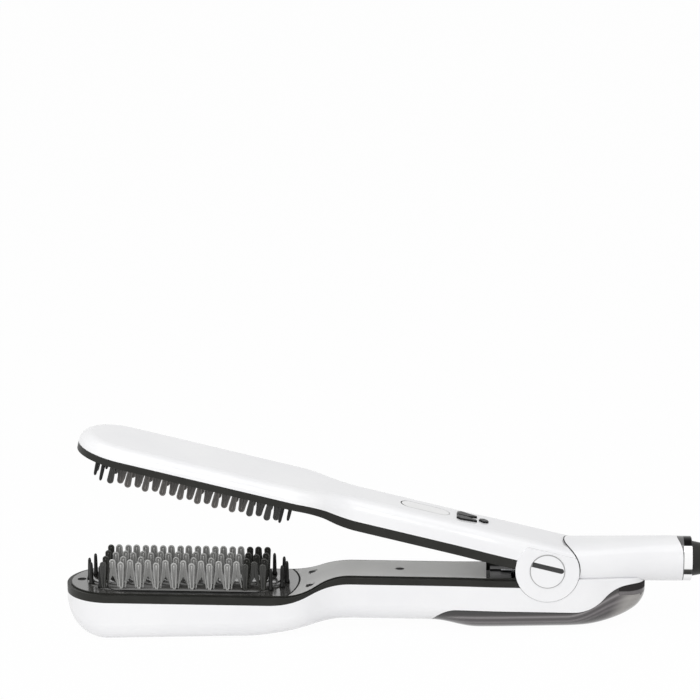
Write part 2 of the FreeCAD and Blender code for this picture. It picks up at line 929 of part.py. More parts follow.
def rail_shape(grow, back):
    """The T-shaped runner on top of the tank, or with growth the groove that it slides in."""
    front = -float(d.rail_front) - grow
    base = -float(d.tank_top)
    neck_top = base + float(d.rail_neck)
    neck = float(d.rail_neck_half) + grow
    head = float(d.rail_half) + grow
    neck_box = box((front, -neck, base - 1.0), (back, neck, neck_top + grow))
    head_top = neck_top + float(d.rail_head) + grow
    head_box = box((front, -head, neck_top - grow), (back, head, head_top))
    return neck_box.fuse(head_box)


def lid_region(grow):
    """The rear top corner of the tank, which its filler lid closes."""
    front = float(d.rear_reach - d.tank_lid_length)
    depth = -float(d.tank_lid_depth)
    return box((front - grow, -FAR, depth - grow), (FAR, FAR, FAR))


def water_tank():
    wall = float(d.tank_wall)
    gap = float(d.moving_gap)
    outside = lower_form(0).common(tank_region(0))
    outside = outside.cut(tail_form(gap))
    outside = outside.cut(lid_region(0))
    inside = lower_form(wall).common(tank_region(-wall))
    inside = inside.cut(tail_form(gap + wall))
    inside = inside.cut(lid_region(wall))
    tank = outside.cut(inside)
    depth = -float(d.spigot_depth)
    spigot_root = -float(d.spigot_root)
    spigot = long_cylinder(float(d.spigot_radius), -float(d.spigot_end), spigot_root, depth)
    tank = tank.fuse(spigot.cut(inside))
    bore_end = spigot_root + 2 * OVER
    tank = tank.cut(long_cylinder(float(d.hose_bore), -float(d.spigot_end) - OVER, bore_end, depth))
    tank = tank.fuse(rail_shape(0, float(d.rail_back)).cut(inside))
    hole_front = float(d.rear_reach - d.tank_lid_length + d.filler_margin)
    hole_back = float(d.rear_reach - d.filler_rear)
    half = float(d.filler_half)
    floor = -float(d.tank_lid_depth)
    filler = box((hole_front, -half, floor - wall - OVER), (hole_back, half, floor + OVER))
    return tank.cut(filler).cut(lid_runners(float(d.seat_gap)))


def lid_runners(grow):
    """Two ribs under the lid, beside the filler hole, that guide it straight back."""
    front = float(d.rear_reach - d.tank_lid_length + d.filler_margin) - grow
    floor = -float(d.tank_lid_depth)
    inner = float(d.filler_half + d.lid_runner_margin) - grow
    outer = float(d.filler_half + d.lid_runner_margin + d.lid_runner_width) + grow
    bottom = floor - float(d.lid_runner_depth) - grow
    top = floor + float(d.seat_gap) * 2
    near = box((front, -outer, bottom), (FAR, -inner, top))
    return near.fuse(box((front, inner, bottom), (FAR, outer, top)))


def tank_filler_lid():
    outside = lower_form(0).common(tank_region(0)).cut(tail_form(float(d.moving_gap)))
    lid = outside.common(lid_region(-float(d.seat_gap)))
    return lid.fuse(outside.common(lid_runners(0)))


def tail_shell():
    wall = float(d.shell_wall)
    end = float(d.tail_end)
    shell = tail_form(0)
    bore = float(d.boot_flange_radius + d.moving_gap)
    inner_end = end - float(d.socket_length) - wall
    shell = shell.cut(tail_form(-wall, end=inner_end).cut(lower_plug()))
    shell = shell.cut(long_cylinder(bore, inner_end - OVER, end + OVER, float(d.tail_axis)))
    shell = shell.cut(collar_tongue(float(d.seat_gap)))
    return shell.cut(hub_drum(float(d.moving_gap)))


def lower_plug():
    """Keeps the front of the tail solid below the parting plane, where the screws pass."""
    return box((0, -FAR, -FAR), (float(d.tail_plug), FAR, -float(d.parting_depth)))


def hose(route, radius, bore, bend):
    """A round hose along straight runs joined by tangent arcs."""
    points = [Vector(*place) for place in route]
    edges = []
    here = points[0]
    for index in range(1, len(points) - 1):
        corner = points[index]
        to_before = (points[index - 1] - corner).normalize()
        to_after = (points[index + 1] - corner).normalize()
        half = to_before.getAngle(to_after) / 2
        reach = bend / math.tan(half)
        leave = corner + to_before * reach
        arrive = corner + to_after * reach
        inward = (to_before + to_after).normalize()
        centre = corner + inward * (bend / math.sin(half))
        edges.append(Part.makeLine(here, leave))
        edges.append(Part.Arc(leave, centre - inward * bend, arrive).toShape())
        here = arrive
    edges.append(Part.makeLine(here, points[-1]))
    path = Part.Wire(edges)
    along = (points[1] - points[0]).normalize()
    tube = path.makePipeShell([Part.Wire(Part.makeCircle(radius, points[0], along))], True, False)
    hollow = path.makePipeShell([Part.Wire(Part.makeCircle(bore, points[0], along))], True, False)
    return tube.cut(hollow)


# --- Rims and plates --------------------------------------------------------------------------

def rim_frame(arm):
    """The dark band round an arm that carries its plates, stepped down along its outer edge."""
    gap = float(d.seat_gap)
    lower = arm == "lower"
    way = -1 if lower else 1
    if lower:
        start, stop = -float(d.lower_seam_start), -float(d.lower_seam_stop)
        paddle, handle = -float(d.lower_seam_paddle), -float(d.lower_seam_handle)
    else:
        start, stop = -float(d.upper_seam_start), -float(d.upper_seam_stop)
        paddle, handle = float(d.upper_seam_paddle), float(d.upper_seam_handle)
    seam = Outline("XZ", (-FAR * 5, paddle)).line(start, paddle).ess(stop, handle).line(0, handle)
    seam.line(0, -way * FAR).line(-FAR * 5, -way * FAR)
    frame = arm_plan(0, -FAR, FAR).common(seam.prism(-FAR, FAR))
    frame = frame.common(band(arm, 0, FAR))
    outer_lip = arm_plan(0, -FAR, FAR).cut(arm_plan(float(d.rim_step_width), -FAR, FAR))
    frame = frame.cut(outer_lip.common(band(arm, -FAR, float(d.rim_step_depth))))
    opening = arm_plan(float(d.rim_width), -FAR, FAR)
    screw_x, screw_y = boss_places()[3]
    bridge_half = float(d.rim_bridge_half)
    bridge = box((screw_x - bridge_half, -FAR, -FAR), (screw_x + bridge_half, FAR, FAR))
    bridge_top = float(d.plate_thickness) + gap
    bridge = bridge.common(band(arm, bridge_top, bridge_top + float(d.rim_bridge_thickness)))
    frame = frame.cut(opening.cut(bridge))
    frame = frame.cut(post(float(d.screw_radius) + gap, screw_x, screw_y, -FAR, FAR))
    plate_pocket = arm_plan(float(d.plate_inset) - gap, -FAR, FAR)
    plate_pocket = plate_pocket.common(band(arm, -FAR, float(d.plate_thickness) + gap))
    plate_end = -float(d.handle_plate_end) + gap
    plate_pocket = plate_pocket.common(box((-FAR * 5, -FAR, -FAR), (plate_end, FAR, FAR)))
    frame = frame.cut(plate_pocket)
    limit = float(d.hub_radius) + (float(d.moving_gap) if lower else gap)
    return frame.cut(cross_cylinder(limit, FAR))


def plate_zone(part):
    """The comb plate's outline ends in an arc; the handle plate starts just behind it."""
    bulge = -float(d.comb_plate_bulge)
    arc = float(d.comb_plate_arc)
    if part == "comb":
        round_end = post(arc, bulge - arc, 0, -FAR, FAR)
        return box((-FAR * 5, -FAR, -FAR), (bulge - arc, FAR, FAR)).fuse(round_end)
    gap = float(d.seat_gap) * 2
    zone = box((bulge - 10, -FAR, -FAR), (-float(d.handle_plate_end), FAR, FAR))
    return zone.cut(post(arc + gap, bulge - arc, 0, -FAR, FAR))


def plate(arm, part):
    layer = band(arm, 0, float(d.plate_thickness))
    piece = arm_plan(float(d.plate_inset), -FAR, FAR).common(layer).common(plate_zone(part))
    if part == "comb":
        piece = piece.cut(capsule(float(d.comb_insert_half) - 1.0, -FAR, FAR))
    for x, y in boss_places():
        hole = post(float(d.screw_head_radius + d.seat_gap), x, y, -FAR, FAR)
        piece = piece.cut(hole)
    return piece


def plate_screws(arm):
    """Countersunk screws that hold the two plates of an arm down on its bosses."""
    way = -1 if arm == "lower" else 1
    down = Vector(0, 0, way)
    head = float(d.screw_head_height)
    solids = []
    for x, y in boss_places():
        start = Vector(x, y, plate_height(arm, x) + way * float(d.screw_sink))
        radius = float(d.screw_head_radius)
        thread = float(d.screw_radius)
        in_bridge = x > -float(d.handle_start)
        length = float(d.bridge_screw_length) if in_bridge else float(d.screw_length)
        cone = Part.makeCone(radius, thread, head, start, down)
        shank = Part.makeCylinder(thread, length - head, start + down * head, down)
        solids.append(cone.fuse(shank))
    return Part.makeCompound(solids)


def capsule(half, low, high):
    """The rounded slot of the comb, as a prism with the given half width."""
    inset = float(d.comb_insert_half) - half
    nose = -float(comb_nose()) + inset
    tail = -float(d.comb_insert_tail) - inset
    slot = Outline("XY", (nose + half, half)).line(tail - half, half)
    slot.arc((tail, 0), (tail - half, -half)).line(nose + half, -half)
    slot.arc((nose, 0), (nose + half, half))
    return slot.prism(low, high)


def facing(arm, depth):
    """Height of a level the given depth behind the face of a paddle plate."""
    if arm == "lower":
        return -float(d.lower_plate_paddle) - depth
    return float(d.upper_rim_paddle) + depth


def layer_between(arm, shallow, deep):
    return sorted((facing(arm, shallow), facing(arm, deep)))


def comb_insert(arm):
    """The black oval collar round the teeth: a lip on the plate and a sleeve through it."""
    half = float(d.comb_insert_half)
    rim = float(d.comb_insert_rim)
    proud = float(d.comb_insert_proud)
    gap = float(d.seat_gap)
    deep = float(d.comb_insert_depth)
    lip = capsule(half, *layer_between(arm, -proud, -gap / 2))
    lip_top = facing(arm, -proud)
    lip = rounded(lip, proud * 0.6, lambda edge: abs(edge.BoundBox.ZMin - lip_top) < 1e-3
                  and abs(edge.BoundBox.ZMax - lip_top) < 1e-3)
    sleeve = capsule(half - 1.0 - gap, *layer_between(arm, -gap / 2 - 0.2, deep))
    return lip.fuse(sleeve).cut(capsule(half - rim, -FAR, FAR))


def heater_plate(arm):
    """The aluminium plate behind the comb plate, with the raised pad that the teeth stand on."""
    deep = float(d.comb_insert_depth) + float(d.seat_gap)
    back = deep + float(d.heater_thickness)
    base = capsule(float(d.heater_skirt), *layer_between(arm, deep, back))
    for x, y in boss_places():
        base = base.cut(post(float(d.boss_radius + d.seat_gap), x, y, -FAR, FAR))
    pad_depth = float(d.heater_pad_depth)
    pad_solid = capsule(float(d.heater_half), *layer_between(arm, pad_depth, deep + 0.2))
    plate_solid = base.fuse(pad_solid)
    for place in range(1, int(float(d.tooth_count)) - 1, 2):
        x = -float(first_tooth()) + float(tooth_pitch()) * place
        for row in (-1, 1):
            y = row * float(d.tooth_row_pitch) / 2 if arm == "lower" else 0.0
            plate_solid = plate_solid.cut(post(float(d.steam_hole_radius), x, y, -FAR, FAR))
    return plate_solid


free_form("lower_shell", lower_shell(), LOWER)
free_form("water_tank", water_tank(), LOWER)
free_form("tank_filler_lid", tank_filler_lid(), LOWER)
free_form("tail_shell", tail_shell(), LOWER)
free_form("lower_rim_frame", rim_frame("lower"), LOWER)
free_form("lower_comb_plate", plate("lower", "comb"), LOWER)
free_form("lower_handle_plate", plate("lower", "handle"), LOWER)
free_form("lower_comb_insert", comb_insert("lower"), LOWER)
free_form("lower_heater_plate", heater_plate("lower"), LOWER)


# --- Teeth and bristles -----------------------------------------------------------------------

def tooth_rows(arm):
    """Rows of flat blades with rounded tips; each row rises from one strip and is one solid."""
    way = 1 if arm == "lower" else -1
    width = float(d.tooth_width)
    pitch = float(tooth_pitch())
    half_thick = float(d.tooth_thickness) / 2
    base = facing(arm, float(d.heater_pad_depth))
    strip_top = base + way * float(d.tooth_strip_height)
    shoulder = facing(arm, -float(d.tooth_height)) - way * width / 2
    rows = (-2, -1, 0, 1, 2) if arm == "lower" else (-1.5, -0.5, 0.5, 1.5)
    solids = []
    for index, row in enumerate(rows):
        staggered = index % 2
        count = int(float(d.tooth_count)) - staggered
        first = -float(first_tooth()) + staggered * pitch / 2 - width / 2
        last = first + pitch * (count - 1) + width
        comb = Outline("XZ", (first, base)).line(last, base)
        for number in reversed(range(count)):
            left = first + number * pitch
            if number < count - 1:
                comb.line(left + width, strip_top)
            comb.line(left + width, shoulder)
            comb.arc((left + width / 2, shoulder + way * width / 2), (left, shoulder))
            if number > 0:
                comb.line(left, strip_top)
        y = row * float(d.tooth_row_pitch)
        solids.append(comb.prism(y - half_thick, y + half_thick))
    return Part.makeCompound(solids)


def bristle_places(arm):
    """Guard bristles along the lip at each end of the comb; those of the arms interleave."""
    places = []
    half = float(d.comb_insert_half)
    radius = half - float(d.comb_insert_rim) / 2
    steps = (-2, -1, 0, 1, 2) if arm == "lower" else (-1.5, -0.5, 0.5, 1.5)
    ends = ((-float(comb_nose()) + half, 180), (-float(d.comb_insert_tail) - half, 0))
    for centre, heading in ends:
        for step in steps:
            turn = math.radians(heading + step * float(d.bristle_step))
            places.append((centre + radius * math.cos(turn), radius * math.sin(turn)))
    return places


def guard_bristles(arm):
    way = 1 if arm == "lower" else -1
    up = Vector(0, 0, way)
    base = facing(arm, -float(d.comb_insert_proud))
    radius = float(d.bristle_radius)
    tip_radius = float(d.bristle_tip_radius)
    length = float(d.bristle_height) - tip_radius
    solids = []
    for x, y in bristle_places(arm):
        pin = Part.makeCone(radius, tip_radius, length, Vector(x, y, base), up)
        top = Part.makeSphere(tip_radius, Vector(x, y, base + way * length))
        solids.append(pin.fuse(top))
    return Part.makeCompound(solids)


for arm, placement in (("lower", LOWER), ("upper", UPPER)):
    free_form(f"{arm}_heating_teeth", tooth_rows(arm), placement)
    free_form(f"{arm}_guard_bristles", guard_bristles(arm), placement)


# --- Upper housing ----------------------------------------------------------------------------

def upper_form(inset, lift=0.0):
    """The upper arm above its rim: a long low dome that runs from the nose to the hinge."""
    top_paddle = float(d.upper_top_paddle) - inset
    top_handle = float(d.upper_top_handle) - inset
    seam_low = float(d.upper_seam_paddle) - lift
    seam_high = float(d.upper_seam_handle) - lift
    nose = -float(d.arm_reach) - OVER
    side = Outline("XZ", (nose, seam_low))
    side.line(-float(d.upper_seam_start), seam_low).ess(-float(d.upper_seam_stop), seam_high)
    side.line(FAR, seam_high).line(FAR, top_handle)
    side.line(-float(d.upper_top_stop), top_handle).ess(-float(d.upper_top_start), top_paddle)
    side.line(nose, top_paddle)
    ahead = box((-FAR * 5, -FAR, -FAR), (float(d.hub_radius), FAR, FAR))
    body = arm_plan(inset, -FAR, FAR).common(side.prism(-FAR, FAR)).common(ahead)

    def top_edge(edge):
        if isinstance(edge.Curve, Part.Line) and abs(edge.Curve.Direction.x) < 0.5:
            return False
        return edge_middle(edge).z > top_handle - 0.5

    return rounded(body, float(d.upper_edge_round) - inset, top_edge)


def button_outline(name, grow):
    """Two wedges side by side and an arrowhead behind them, as prisms of plan outlines."""
    front = -float(d.button_front) - grow
    waist = -float(d.button_waist)
    tip = -float(d.button_tip) + grow
    half = float(d.button_half) + grow
    split = float(d.button_gap) * 1.6 - grow
    narrow = float(d.button_tip_half)
    back = waist + grow
    if name == "button_power":
        start = waist + 1.2 - grow
        barb = float(d.button_barb)
        plan = Outline("XY", (start, -1.2 - grow))
        plan.line(start + barb, -narrow - grow).line(tip - 1.2, -narrow * 0.7 - grow)
        plan.arc((tip, 0), (tip - 1.2, narrow * 0.7 + grow))
        plan.line(start + barb, narrow + grow).line(start, 1.2 + grow)
        return plan
    side = -1 if name == "button_plus" else 1
    plan = Outline("XY", (front, side * split))
    plan.line(back - 5.0, side * split).line(back, side * (split + 2.2 + grow))
    plan.line(back, side * (half - 2.0)).line(front + 2.0, side * half)
    plan.line(front, side * (half - 1.6))
    return plan


BUTTONS = ("button_power", "button_plus", "button_minus")


def button_top():
    return float(d.upper_top_handle + d.button_proud)


def push_button(name):
    """A cap through the housing with a wider flange inside that keeps it captive."""
    roof = float(d.upper_top_handle - d.shell_wall)
    flange_top = roof - float(d.seat_gap)
    flange = button_outline(name, 0.6).prism(flange_top - float(d.button_flange), flange_top)
    if name != "button_power":
        flange = flange.cut(button_outline("button_power", 1.0).prism(-FAR, FAR))
        flange = flange.common(box((-FAR * 2, -FAR, 0), (FAR, FAR, FAR)))
        other = "button_minus" if name == "button_plus" else "button_plus"
        flange = flange.cut(button_outline(other, 0.9).prism(-FAR, FAR))
    cap = button_outline(name, 0).prism(flange_top - 0.2, button_top())
    top = button_top()
    cap = cap.makeChamfer(0.3, [
        edge for edge in cap.Edges
        if edge.BoundBox.ZMin > top - 0.01
    ])
    return cap.fuse(flange)


def window(grow, low, high):
    half = float(d.window_half) + grow
    front = -float(d.window_front) - grow
    back = -float(d.window_back) + grow
    slot = Outline("XY", (front + half, half)).line(back - half, half)
    slot.arc((back, 0), (back - half, -half)).line(front + half, -half)
    slot.arc((front, 0), (front + half, half))
    return slot.prism(low, high)


def upper_shell():
    wall = float(d.shell_wall)
    hub = float(d.hub_radius)
    roof = float(d.upper_top_handle) - wall
    shell = upper_form(0)
    cavity = upper_form(wall, OVER)
    shell = shell.cut(cavity)
    cheek_in = float(d.cheek_inner)
    cheek_out = float(d.cheek_outer)
    ring = cross_cylinder(hub, cheek_out).cut(cross_cylinder(hub + OVER, cheek_in))
    ring = ring.common(hub_drum(0))
    roof_limit = box((-FAR, -FAR, -FAR), (FAR, FAR, float(d.upper_top_handle) - 3.0))
    shell = shell.common(hub_drum(0).fuse(box((-FAR * 5, -FAR, -FAR), (0, FAR, FAR))))
    shell = shell.fuse(ring.common(roof_limit))
    web = float(d.cheek_web)
    for side in (-1, 1):
        start = Vector(0, side * web, 0)
        recess = Part.makeCylinder(float(d.cap_radius + d.seat_gap), 10, start, Vector(0, side, 0))
        shell = shell.cut(recess)
    shell = shell.cut(cross_cylinder(float(d.shaft_radius) + 0.02, FAR))
    shell = shell.cut(window(float(d.seat_gap), roof - OVER, FAR))
    for name in BUTTONS:
        hole = button_outline(name, float(d.button_gap) * 0.7).prism(roof - OVER, FAR)
        shell = shell.cut(hole)
    for x, y in boss_places()[:3]:
        top = float(d.upper_top_paddle)
        boss = post(float(d.boss_radius), x, y, plate_height("upper", x) + under_plate(), top)
        shell = shell.fuse(boss.common(upper_form(wall / 2, FAR)))
        shell = shell.cut(post(float(d.screw_radius + d.seat_gap), x, y, -FAR, top - 3.5))
    board_top = float(d.board_height + d.board_thickness + d.seat_gap)
    inside = upper_form(wall / 2)
    for x, y in board_post_places():
        board_post = post(float(d.board_post_radius), x, y, board_top, roof + OVER)
        shell = shell.fuse(board_post.common(inside))
    return shell


def board_post_places():
    inset = float(d.board_post_inset)
    y = float(d.board_post_y)
    front = -float(d.board_front) + inset
    back = -float(d.window_back) - inset
    return [(x, side * y) for x in (front, back) for side in (-1, 1)]


free_form("upper_shell", upper_shell(), UPPER)
free_form("upper_rim_frame", rim_frame("upper"), UPPER)
free_form("upper_comb_plate", plate("upper", "comb"), UPPER)
free_form("upper_handle_plate", plate("upper", "handle"), UPPER)
free_form("upper_comb_insert", comb_insert("upper"), UPPER)
free_form("upper_heater_plate", heater_plate("upper"), UPPER)
for name in BUTTONS:
    free_form(name, push_button(name), UPPER)
for arm, placement in (("lower", LOWER), ("upper", UPPER)):
    free_form(f"{arm}_plate_screws", plate_screws(arm), placement)


# --- Hinge ------------------------------------------------------------------------------------

def hinge_bracket():
    """The block bolted into the lower arm, whose two knuckle lugs carry the hinge bushes."""
    body = new_body("hinge_bracket", LOWER)
    foot = -d.block_foot
    outline = [
        (-d.block_front, foot),
        (-d.seat_gap, foot),
        (-d.seat_gap, -d.hub_radius + 0.3),
        (d.knuckle_radius * 0.6, -d.hub_radius + 2.5),
        (d.knuckle_radius * 0.95, -d.knuckle_radius / 2),
        (-d.knuckle_radius * 0.95, -d.knuckle_radius / 2),
        (-d.block_back, -d.block_top - d.block_notch),
        (-d.block_back, -d.block_top),
        (-d.block_front, -d.block_top),
    ]
    pad(body, polygon(body, "XZ_Plane", outline), d.knuckle_half * 2, side="Symmetric")
    knuckle = circles(body, "XZ_Plane", [(0, 0, d.knuckle_radius)])
    pad(body, knuckle, d.knuckle_half * 2, side="Symmetric")
    spring_room = circles(body, "XZ_Plane", [(0, 0, d.knuckle_radius + 0.2)])
    pocket(body, spring_room, d.spring_half * 2, side="Symmetric")
    leg_floor = -d.spring_mean_radius - d.spring_wire - d.seat_gap
    groove = rectangle(body, "XZ_Plane", (-d.block_front - OVER, leg_floor), (0, 0))
    pocket(body, groove, d.spring_half * 2, side="Symmetric")
    bore = circles(body, "XZ_Plane", [(0, 0, d.bush_radius)])
    pocket(body, bore, d.knuckle_half * 3, side="Symmetric")


def hinge_bushes():
    """Two plain bushes pressed into the knuckle lugs."""
    body = new_body("hinge_bushes", LOWER, several_solids=True)
    low = (d.shaft_radius + d.shaft_play, d.spring_half + 0.1)
    high = (d.bush_radius - 0.02, d.knuckle_half + 0.6)
    ring = revolve(body, rectangle(body, "XY_Plane", low, high), "V_Axis")
    mirror(body, [ring], "XZ_Plane")


def hinge_shaft():
    """The steel shaft between the cheeks, drilled at both ends for its screws."""
    body = new_body("hinge_shaft", UPPER)
    end = d.cheek_web - 0.2
    drilled = end - 7.0
    thread = d.screw_radius + 0.4
    profile = [
        (0, -drilled), (thread, -drilled), (thread, -end), (d.shaft_radius, -end),
        (d.shaft_radius, end), (thread, end), (thread, drilled), (0, drilled),
    ]
    revolve(body, polygon(body, "XY_Plane", profile), "V_Axis")


def hinge_screws():
    body = new_body("hinge_screws", UPPER, several_solids=True)
    seat = d.cheek_web + 0.02
    thread = d.screw_radius + 0.35
    profile = [
        (0, d.cheek_web - d.hinge_screw_reach), (thread, d.cheek_web - d.hinge_screw_reach),
        (thread, seat),
        (d.hinge_screw_head, seat), (d.hinge_screw_head, d.cap_inner - 0.3), (0, d.cap_inner - 0.3),
    ]
    screw = revolve(body, polygon(body, "XY_Plane", profile), "V_Axis")
    mirror(body, [screw], "XZ_Plane")


def hinge_caps():
    """Round covers in the cheeks, each with a groove for its coloured insert."""
    body = new_body("hinge_caps", UPPER, several_solids=True)
    face = rectangle(body, "XY_Plane", (0, -d.cap_outer), (d.cap_radius, -d.cap_inner))
    disc = revolve(body, face, "V_Axis")
    low = (-d.cap_radius - 1.0, d.cap_slot_rise - d.cap_slot_width / 2)
    round_x = d.cap_slot_end - d.cap_slot_width / 2
    high = (round_x, d.cap_slot_rise + d.cap_slot_width / 2)
    slot = rectangle(body, "XZ_Plane", low, high, lift=d.cap_outer)
    groove = pocket(body, slot, d.cap_slot_depth)
    end_round = [(round_x, d.cap_slot_rise, d.cap_slot_width / 2)]
    groove_end = pocket(body, circles(body, "XZ_Plane", end_round, lift=d.cap_outer), d.cap_slot_depth)
    mirror(body, [disc, groove, groove_end], "XZ_Plane")


def hinge_cap_inserts():
    """Dark bars that lie in the grooves of the hinge caps."""
    body = new_body("hinge_cap_inserts", UPPER, several_solids=True)
    gap = d.seat_gap / 2
    low = (-d.cap_radius * 0.93, d.cap_slot_rise - d.cap_slot_width / 2 + gap)
    round_x = d.cap_slot_end - d.cap_slot_width / 2
    high = (round_x, d.cap_slot_rise + d.cap_slot_width / 2 - gap)
    floor = d.cap_outer - d.cap_slot_depth + gap
    bar = rectangle(body, "XZ_Plane", low, high, lift=floor)
    bar_pad = pad(body, bar, d.cap_slot_depth - gap * 2)
    end_round = [(round_x, d.cap_slot_rise, d.cap_slot_width / 2 - gap)]
    bar_end = pad(body, circles(body, "XZ_Plane", end_round, lift=floor), d.cap_slot_depth - gap * 2)
    mirror(body, [bar_pad, bar_end], "XZ_Plane")


def torsion_spring():
    """Coils round the shaft between the lugs; one leg lies on the block, one lifts the roof."""
    wire = float(d.spring_wire)
    radius = float(d.spring_mean_radius)
    pitch = float(d.spring_pitch)
    rise = float(d.spring_leg_rise)
    slope = math.atan(pitch / (2 * math.pi * radius))
    leg_drift = float(d.spring_low_leg) * math.sin(slope)
    room = 2 * (float(d.spring_half) - wire - float(d.seat_gap) - leg_drift)
    turns = int(room / pitch) + 0.5 - rise / 360
    length = turns * pitch
    turn = 2 * math.pi * turns
    start = Vector(radius, 0, 0)
    back_along = Vector(0, -math.cos(slope), -math.sin(slope))
    end = Vector(radius * math.cos(turn), radius * math.sin(turn), length)
    flat = math.cos(slope)
    onward = Vector(-math.sin(turn) * flat, math.cos(turn) * flat, math.sin(slope))
    low_end = start + back_along * float(d.spring_low_leg)
    high_end = end + onward * float(d.spring_high_leg)
    helix = Part.makeHelix(pitch, length, radius)
    path = Part.Wire([Part.makeLine(low_end, start), *helix.Edges, Part.makeLine(end, high_end)])
    section = Part.Wire(Part.makeCircle(wire, low_end, back_along))
    spring = path.makePipeShell([section], True, False)
    sideways = FreeCAD.Rotation(Vector(0, 0, -1), Vector(1, 0, 0), Vector(0, -1, 0), "ZXY")
    spring.Placement = FreeCAD.Placement(Vector(0, length / 2, 0), sideways)
    return spring


hinge_bracket()
hinge_bushes()
hinge_shaft()
hinge_screws()
hinge_caps()
hinge_cap_inserts()
free_form("torsion_spring", torsion_spring(), LOWER)


# --- Steam and heating parts ------------------------------------------------------------------

def along(placement, x=0.0, y=0.0, z=0.0):
    """A placement with its origin moved within the arm's own frame."""
    return placement.multiply(FreeCAD.Placement(Vector(x, y, z), FreeCAD.Rotation()))


def heating_element(arm, placement):
    """A flat ceramic heater in its foil, with two terminal tabs."""
    body = new_body(f"{arm}_heating_element", placement)
    way = -1 if arm == "lower" else 1
    face = -d.lower_plate_paddle if arm == "lower" else d.upper_rim_paddle
    depth = d.comb_insert_depth + d.heater_thickness + d.seat_gap * 2
    front = -element_front()
    half = d.element_width / 2
    block = rectangle(body, "XY_Plane", (front, -half), (front + d.element_length, half),
                      lift=face + way * depth)
    pad(body, block, d.element_thickness, reverse=arm == "lower")
    tab_front = front + d.element_length - OVER
    tab_half = d.terminal_width / 2
    for side in (-1, 1):
        low = (tab_front, side * d.terminal_offset - tab_half)
        high = (tab_front + d.terminal_length, side * d.terminal_offset + tab_half)
        lift = face + way * (depth + d.element_thickness / 2)
        tab = rectangle(body, "XY_Plane", low, high, lift=lift)
        pad(body, tab, d.terminal_thickness, reverse=arm == "lower")


def lower_thermostat():
    body = new_body("lower_thermostat", LOWER)
    top = -d.lower_plate_paddle - d.comb_insert_depth - d.heater_thickness - d.seat_gap * 2
    flange = 2.4
    x = d.thermostat_run - element_rear()
    disc = circles(body, "XY_Plane", [(x, 0, d.thermostat_radius)], lift=top)
    pad(body, disc, flange, reverse=True)
    can = circles(body, "XY_Plane", [(x, 0, d.thermostat_radius * 0.7)], lift=top - flange)
    pad(body, can, flange * 0.75, reverse=True)


def steam_generator():
    """The boiler block, on four bosses of the housing, with an inlet for the delivery hose."""
    body = new_body("steam_generator", LOWER)
    rear = -generator_back()
    front = rear - d.generator_length
    half = d.generator_width / 2
    block = rectangle(body, "XY_Plane", (front, -half), (rear, half), lift=-d.generator_top)
    pad(body, block, d.generator_height, reverse=True)
    dress(body, "Fillet", 3.0, runs_along("z"))
    inlet = circles(body, "YZ_Plane", [(0, -d.inlet_depth, d.hose_bore - 0.05)], lift=rear)
    pad(body, inlet, d.spigot_length)
    outlet_round = (-steam_duct_place(), 0, d.steam_duct_bore)
    outlet = circles(body, "XY_Plane", [outlet_round], lift=-d.generator_top)
    pocket(body, outlet, d.generator_height / 2)


def steam_duct():
    """The short pipe that leads steam from the boiler up into the comb."""
    body = new_body("steam_duct", LOWER)
    bottom = -d.generator_top + 0.05
    top = -d.lower_plate_paddle - d.comb_insert_depth - d.heater_thickness - d.seat_gap * 2
    x = -steam_duct_place()
    rounds = [(x, 0, d.steam_duct_radius), (x, 0, d.steam_duct_bore)]
    ring = circles(body, "XY_Plane", rounds, lift=bottom)
    pad(body, ring, top - bottom)


def water_pump():
    """The inline pump: a wide head towards the tank, its motor in front, a spigot at each end."""
    body = new_body("water_pump", LOWER)
    back = -d.pump_back
    neck = back - d.pump_length
    front = neck - d.motor_length
    spigot = d.hose_bore - 0.05
    for start, end, radius in (
        (neck, back, d.pump_radius),
        (front, neck, d.motor_radius),
        (front - d.spigot_length, front, spigot),
        (back, back + d.spigot_length, spigot),
    ):
        ring = circles(body, "YZ_Plane", [(0, -d.pump_depth, radius)], lift=start)
        pad(body, ring, end - start)


def tank_seal():
    """The rubber cup that the tank's spigot plugs into, with a barb for the suction hose."""
    body = new_body("tank_seal", along(LOWER, z=-float(d.spigot_depth)))
    bore = d.spigot_radius + d.shaft_play
    end = -d.spigot_end - 0.3
    shoulder = end - d.seal_base
    mouth = end + d.seal_sleeve
    tip = shoulder - d.spigot_length
    outer = d.seal_radius - 0.02
    barb = d.hose_bore - 0.05
    way_through = d.hose_bore / 2
    profile = [
        (end, way_through), (end, bore), (mouth, bore), (mouth, outer),
        (shoulder, outer), (shoulder, barb), (tip, barb), (tip, way_through),
    ]
    revolve(body, polygon(body, "XZ_Plane", profile), "H_Axis")


def suction_hose():
    gap = float(d.seat_gap)
    run = float(d.suction_run)
    start = -float(d.spigot_end + d.moving_gap + d.seal_base) - gap
    low = -float(d.spigot_depth)
    high = -float(d.pump_depth)
    end = -float(d.pump_back) + gap
    route = [(start, 0, low), (start - run, 0, low), (end + run, 0, high), (end, 0, high)]
    return hose(route, float(d.hose_radius), float(d.hose_bore), float(d.suction_bend))


def delivery_hose():
    gap = float(d.seat_gap)
    start = -float(d.pump_back + d.pump_length + d.motor_length) - gap
    high = -float(d.pump_depth)
    low = -float(d.inlet_depth)
    end = generator_rear() + gap
    turn_down = (start - float(d.delivery_start_run), 0, high)
    turn_level = (end + float(d.delivery_end_run), 0, low)
    route = [(start, 0, high), turn_down, turn_level, (end, 0, low)]
    return hose(route, float(d.hose_radius), float(d.hose_bore), float(d.delivery_bend))


heating_element("lower", LOWER)
heating_element("upper", UPPER)
lower_thermostat()
steam_generator()
steam_duct()
water_pump()
tank_seal()
free_form("suction_hose", suction_hose(), LOWER)
free_form("delivery_hose", delivery_hose(), LOWER)


# --- Tail end ---------------------------------------------------------------------------------

TAIL = along(LOWER, z=float(d.tail_axis))


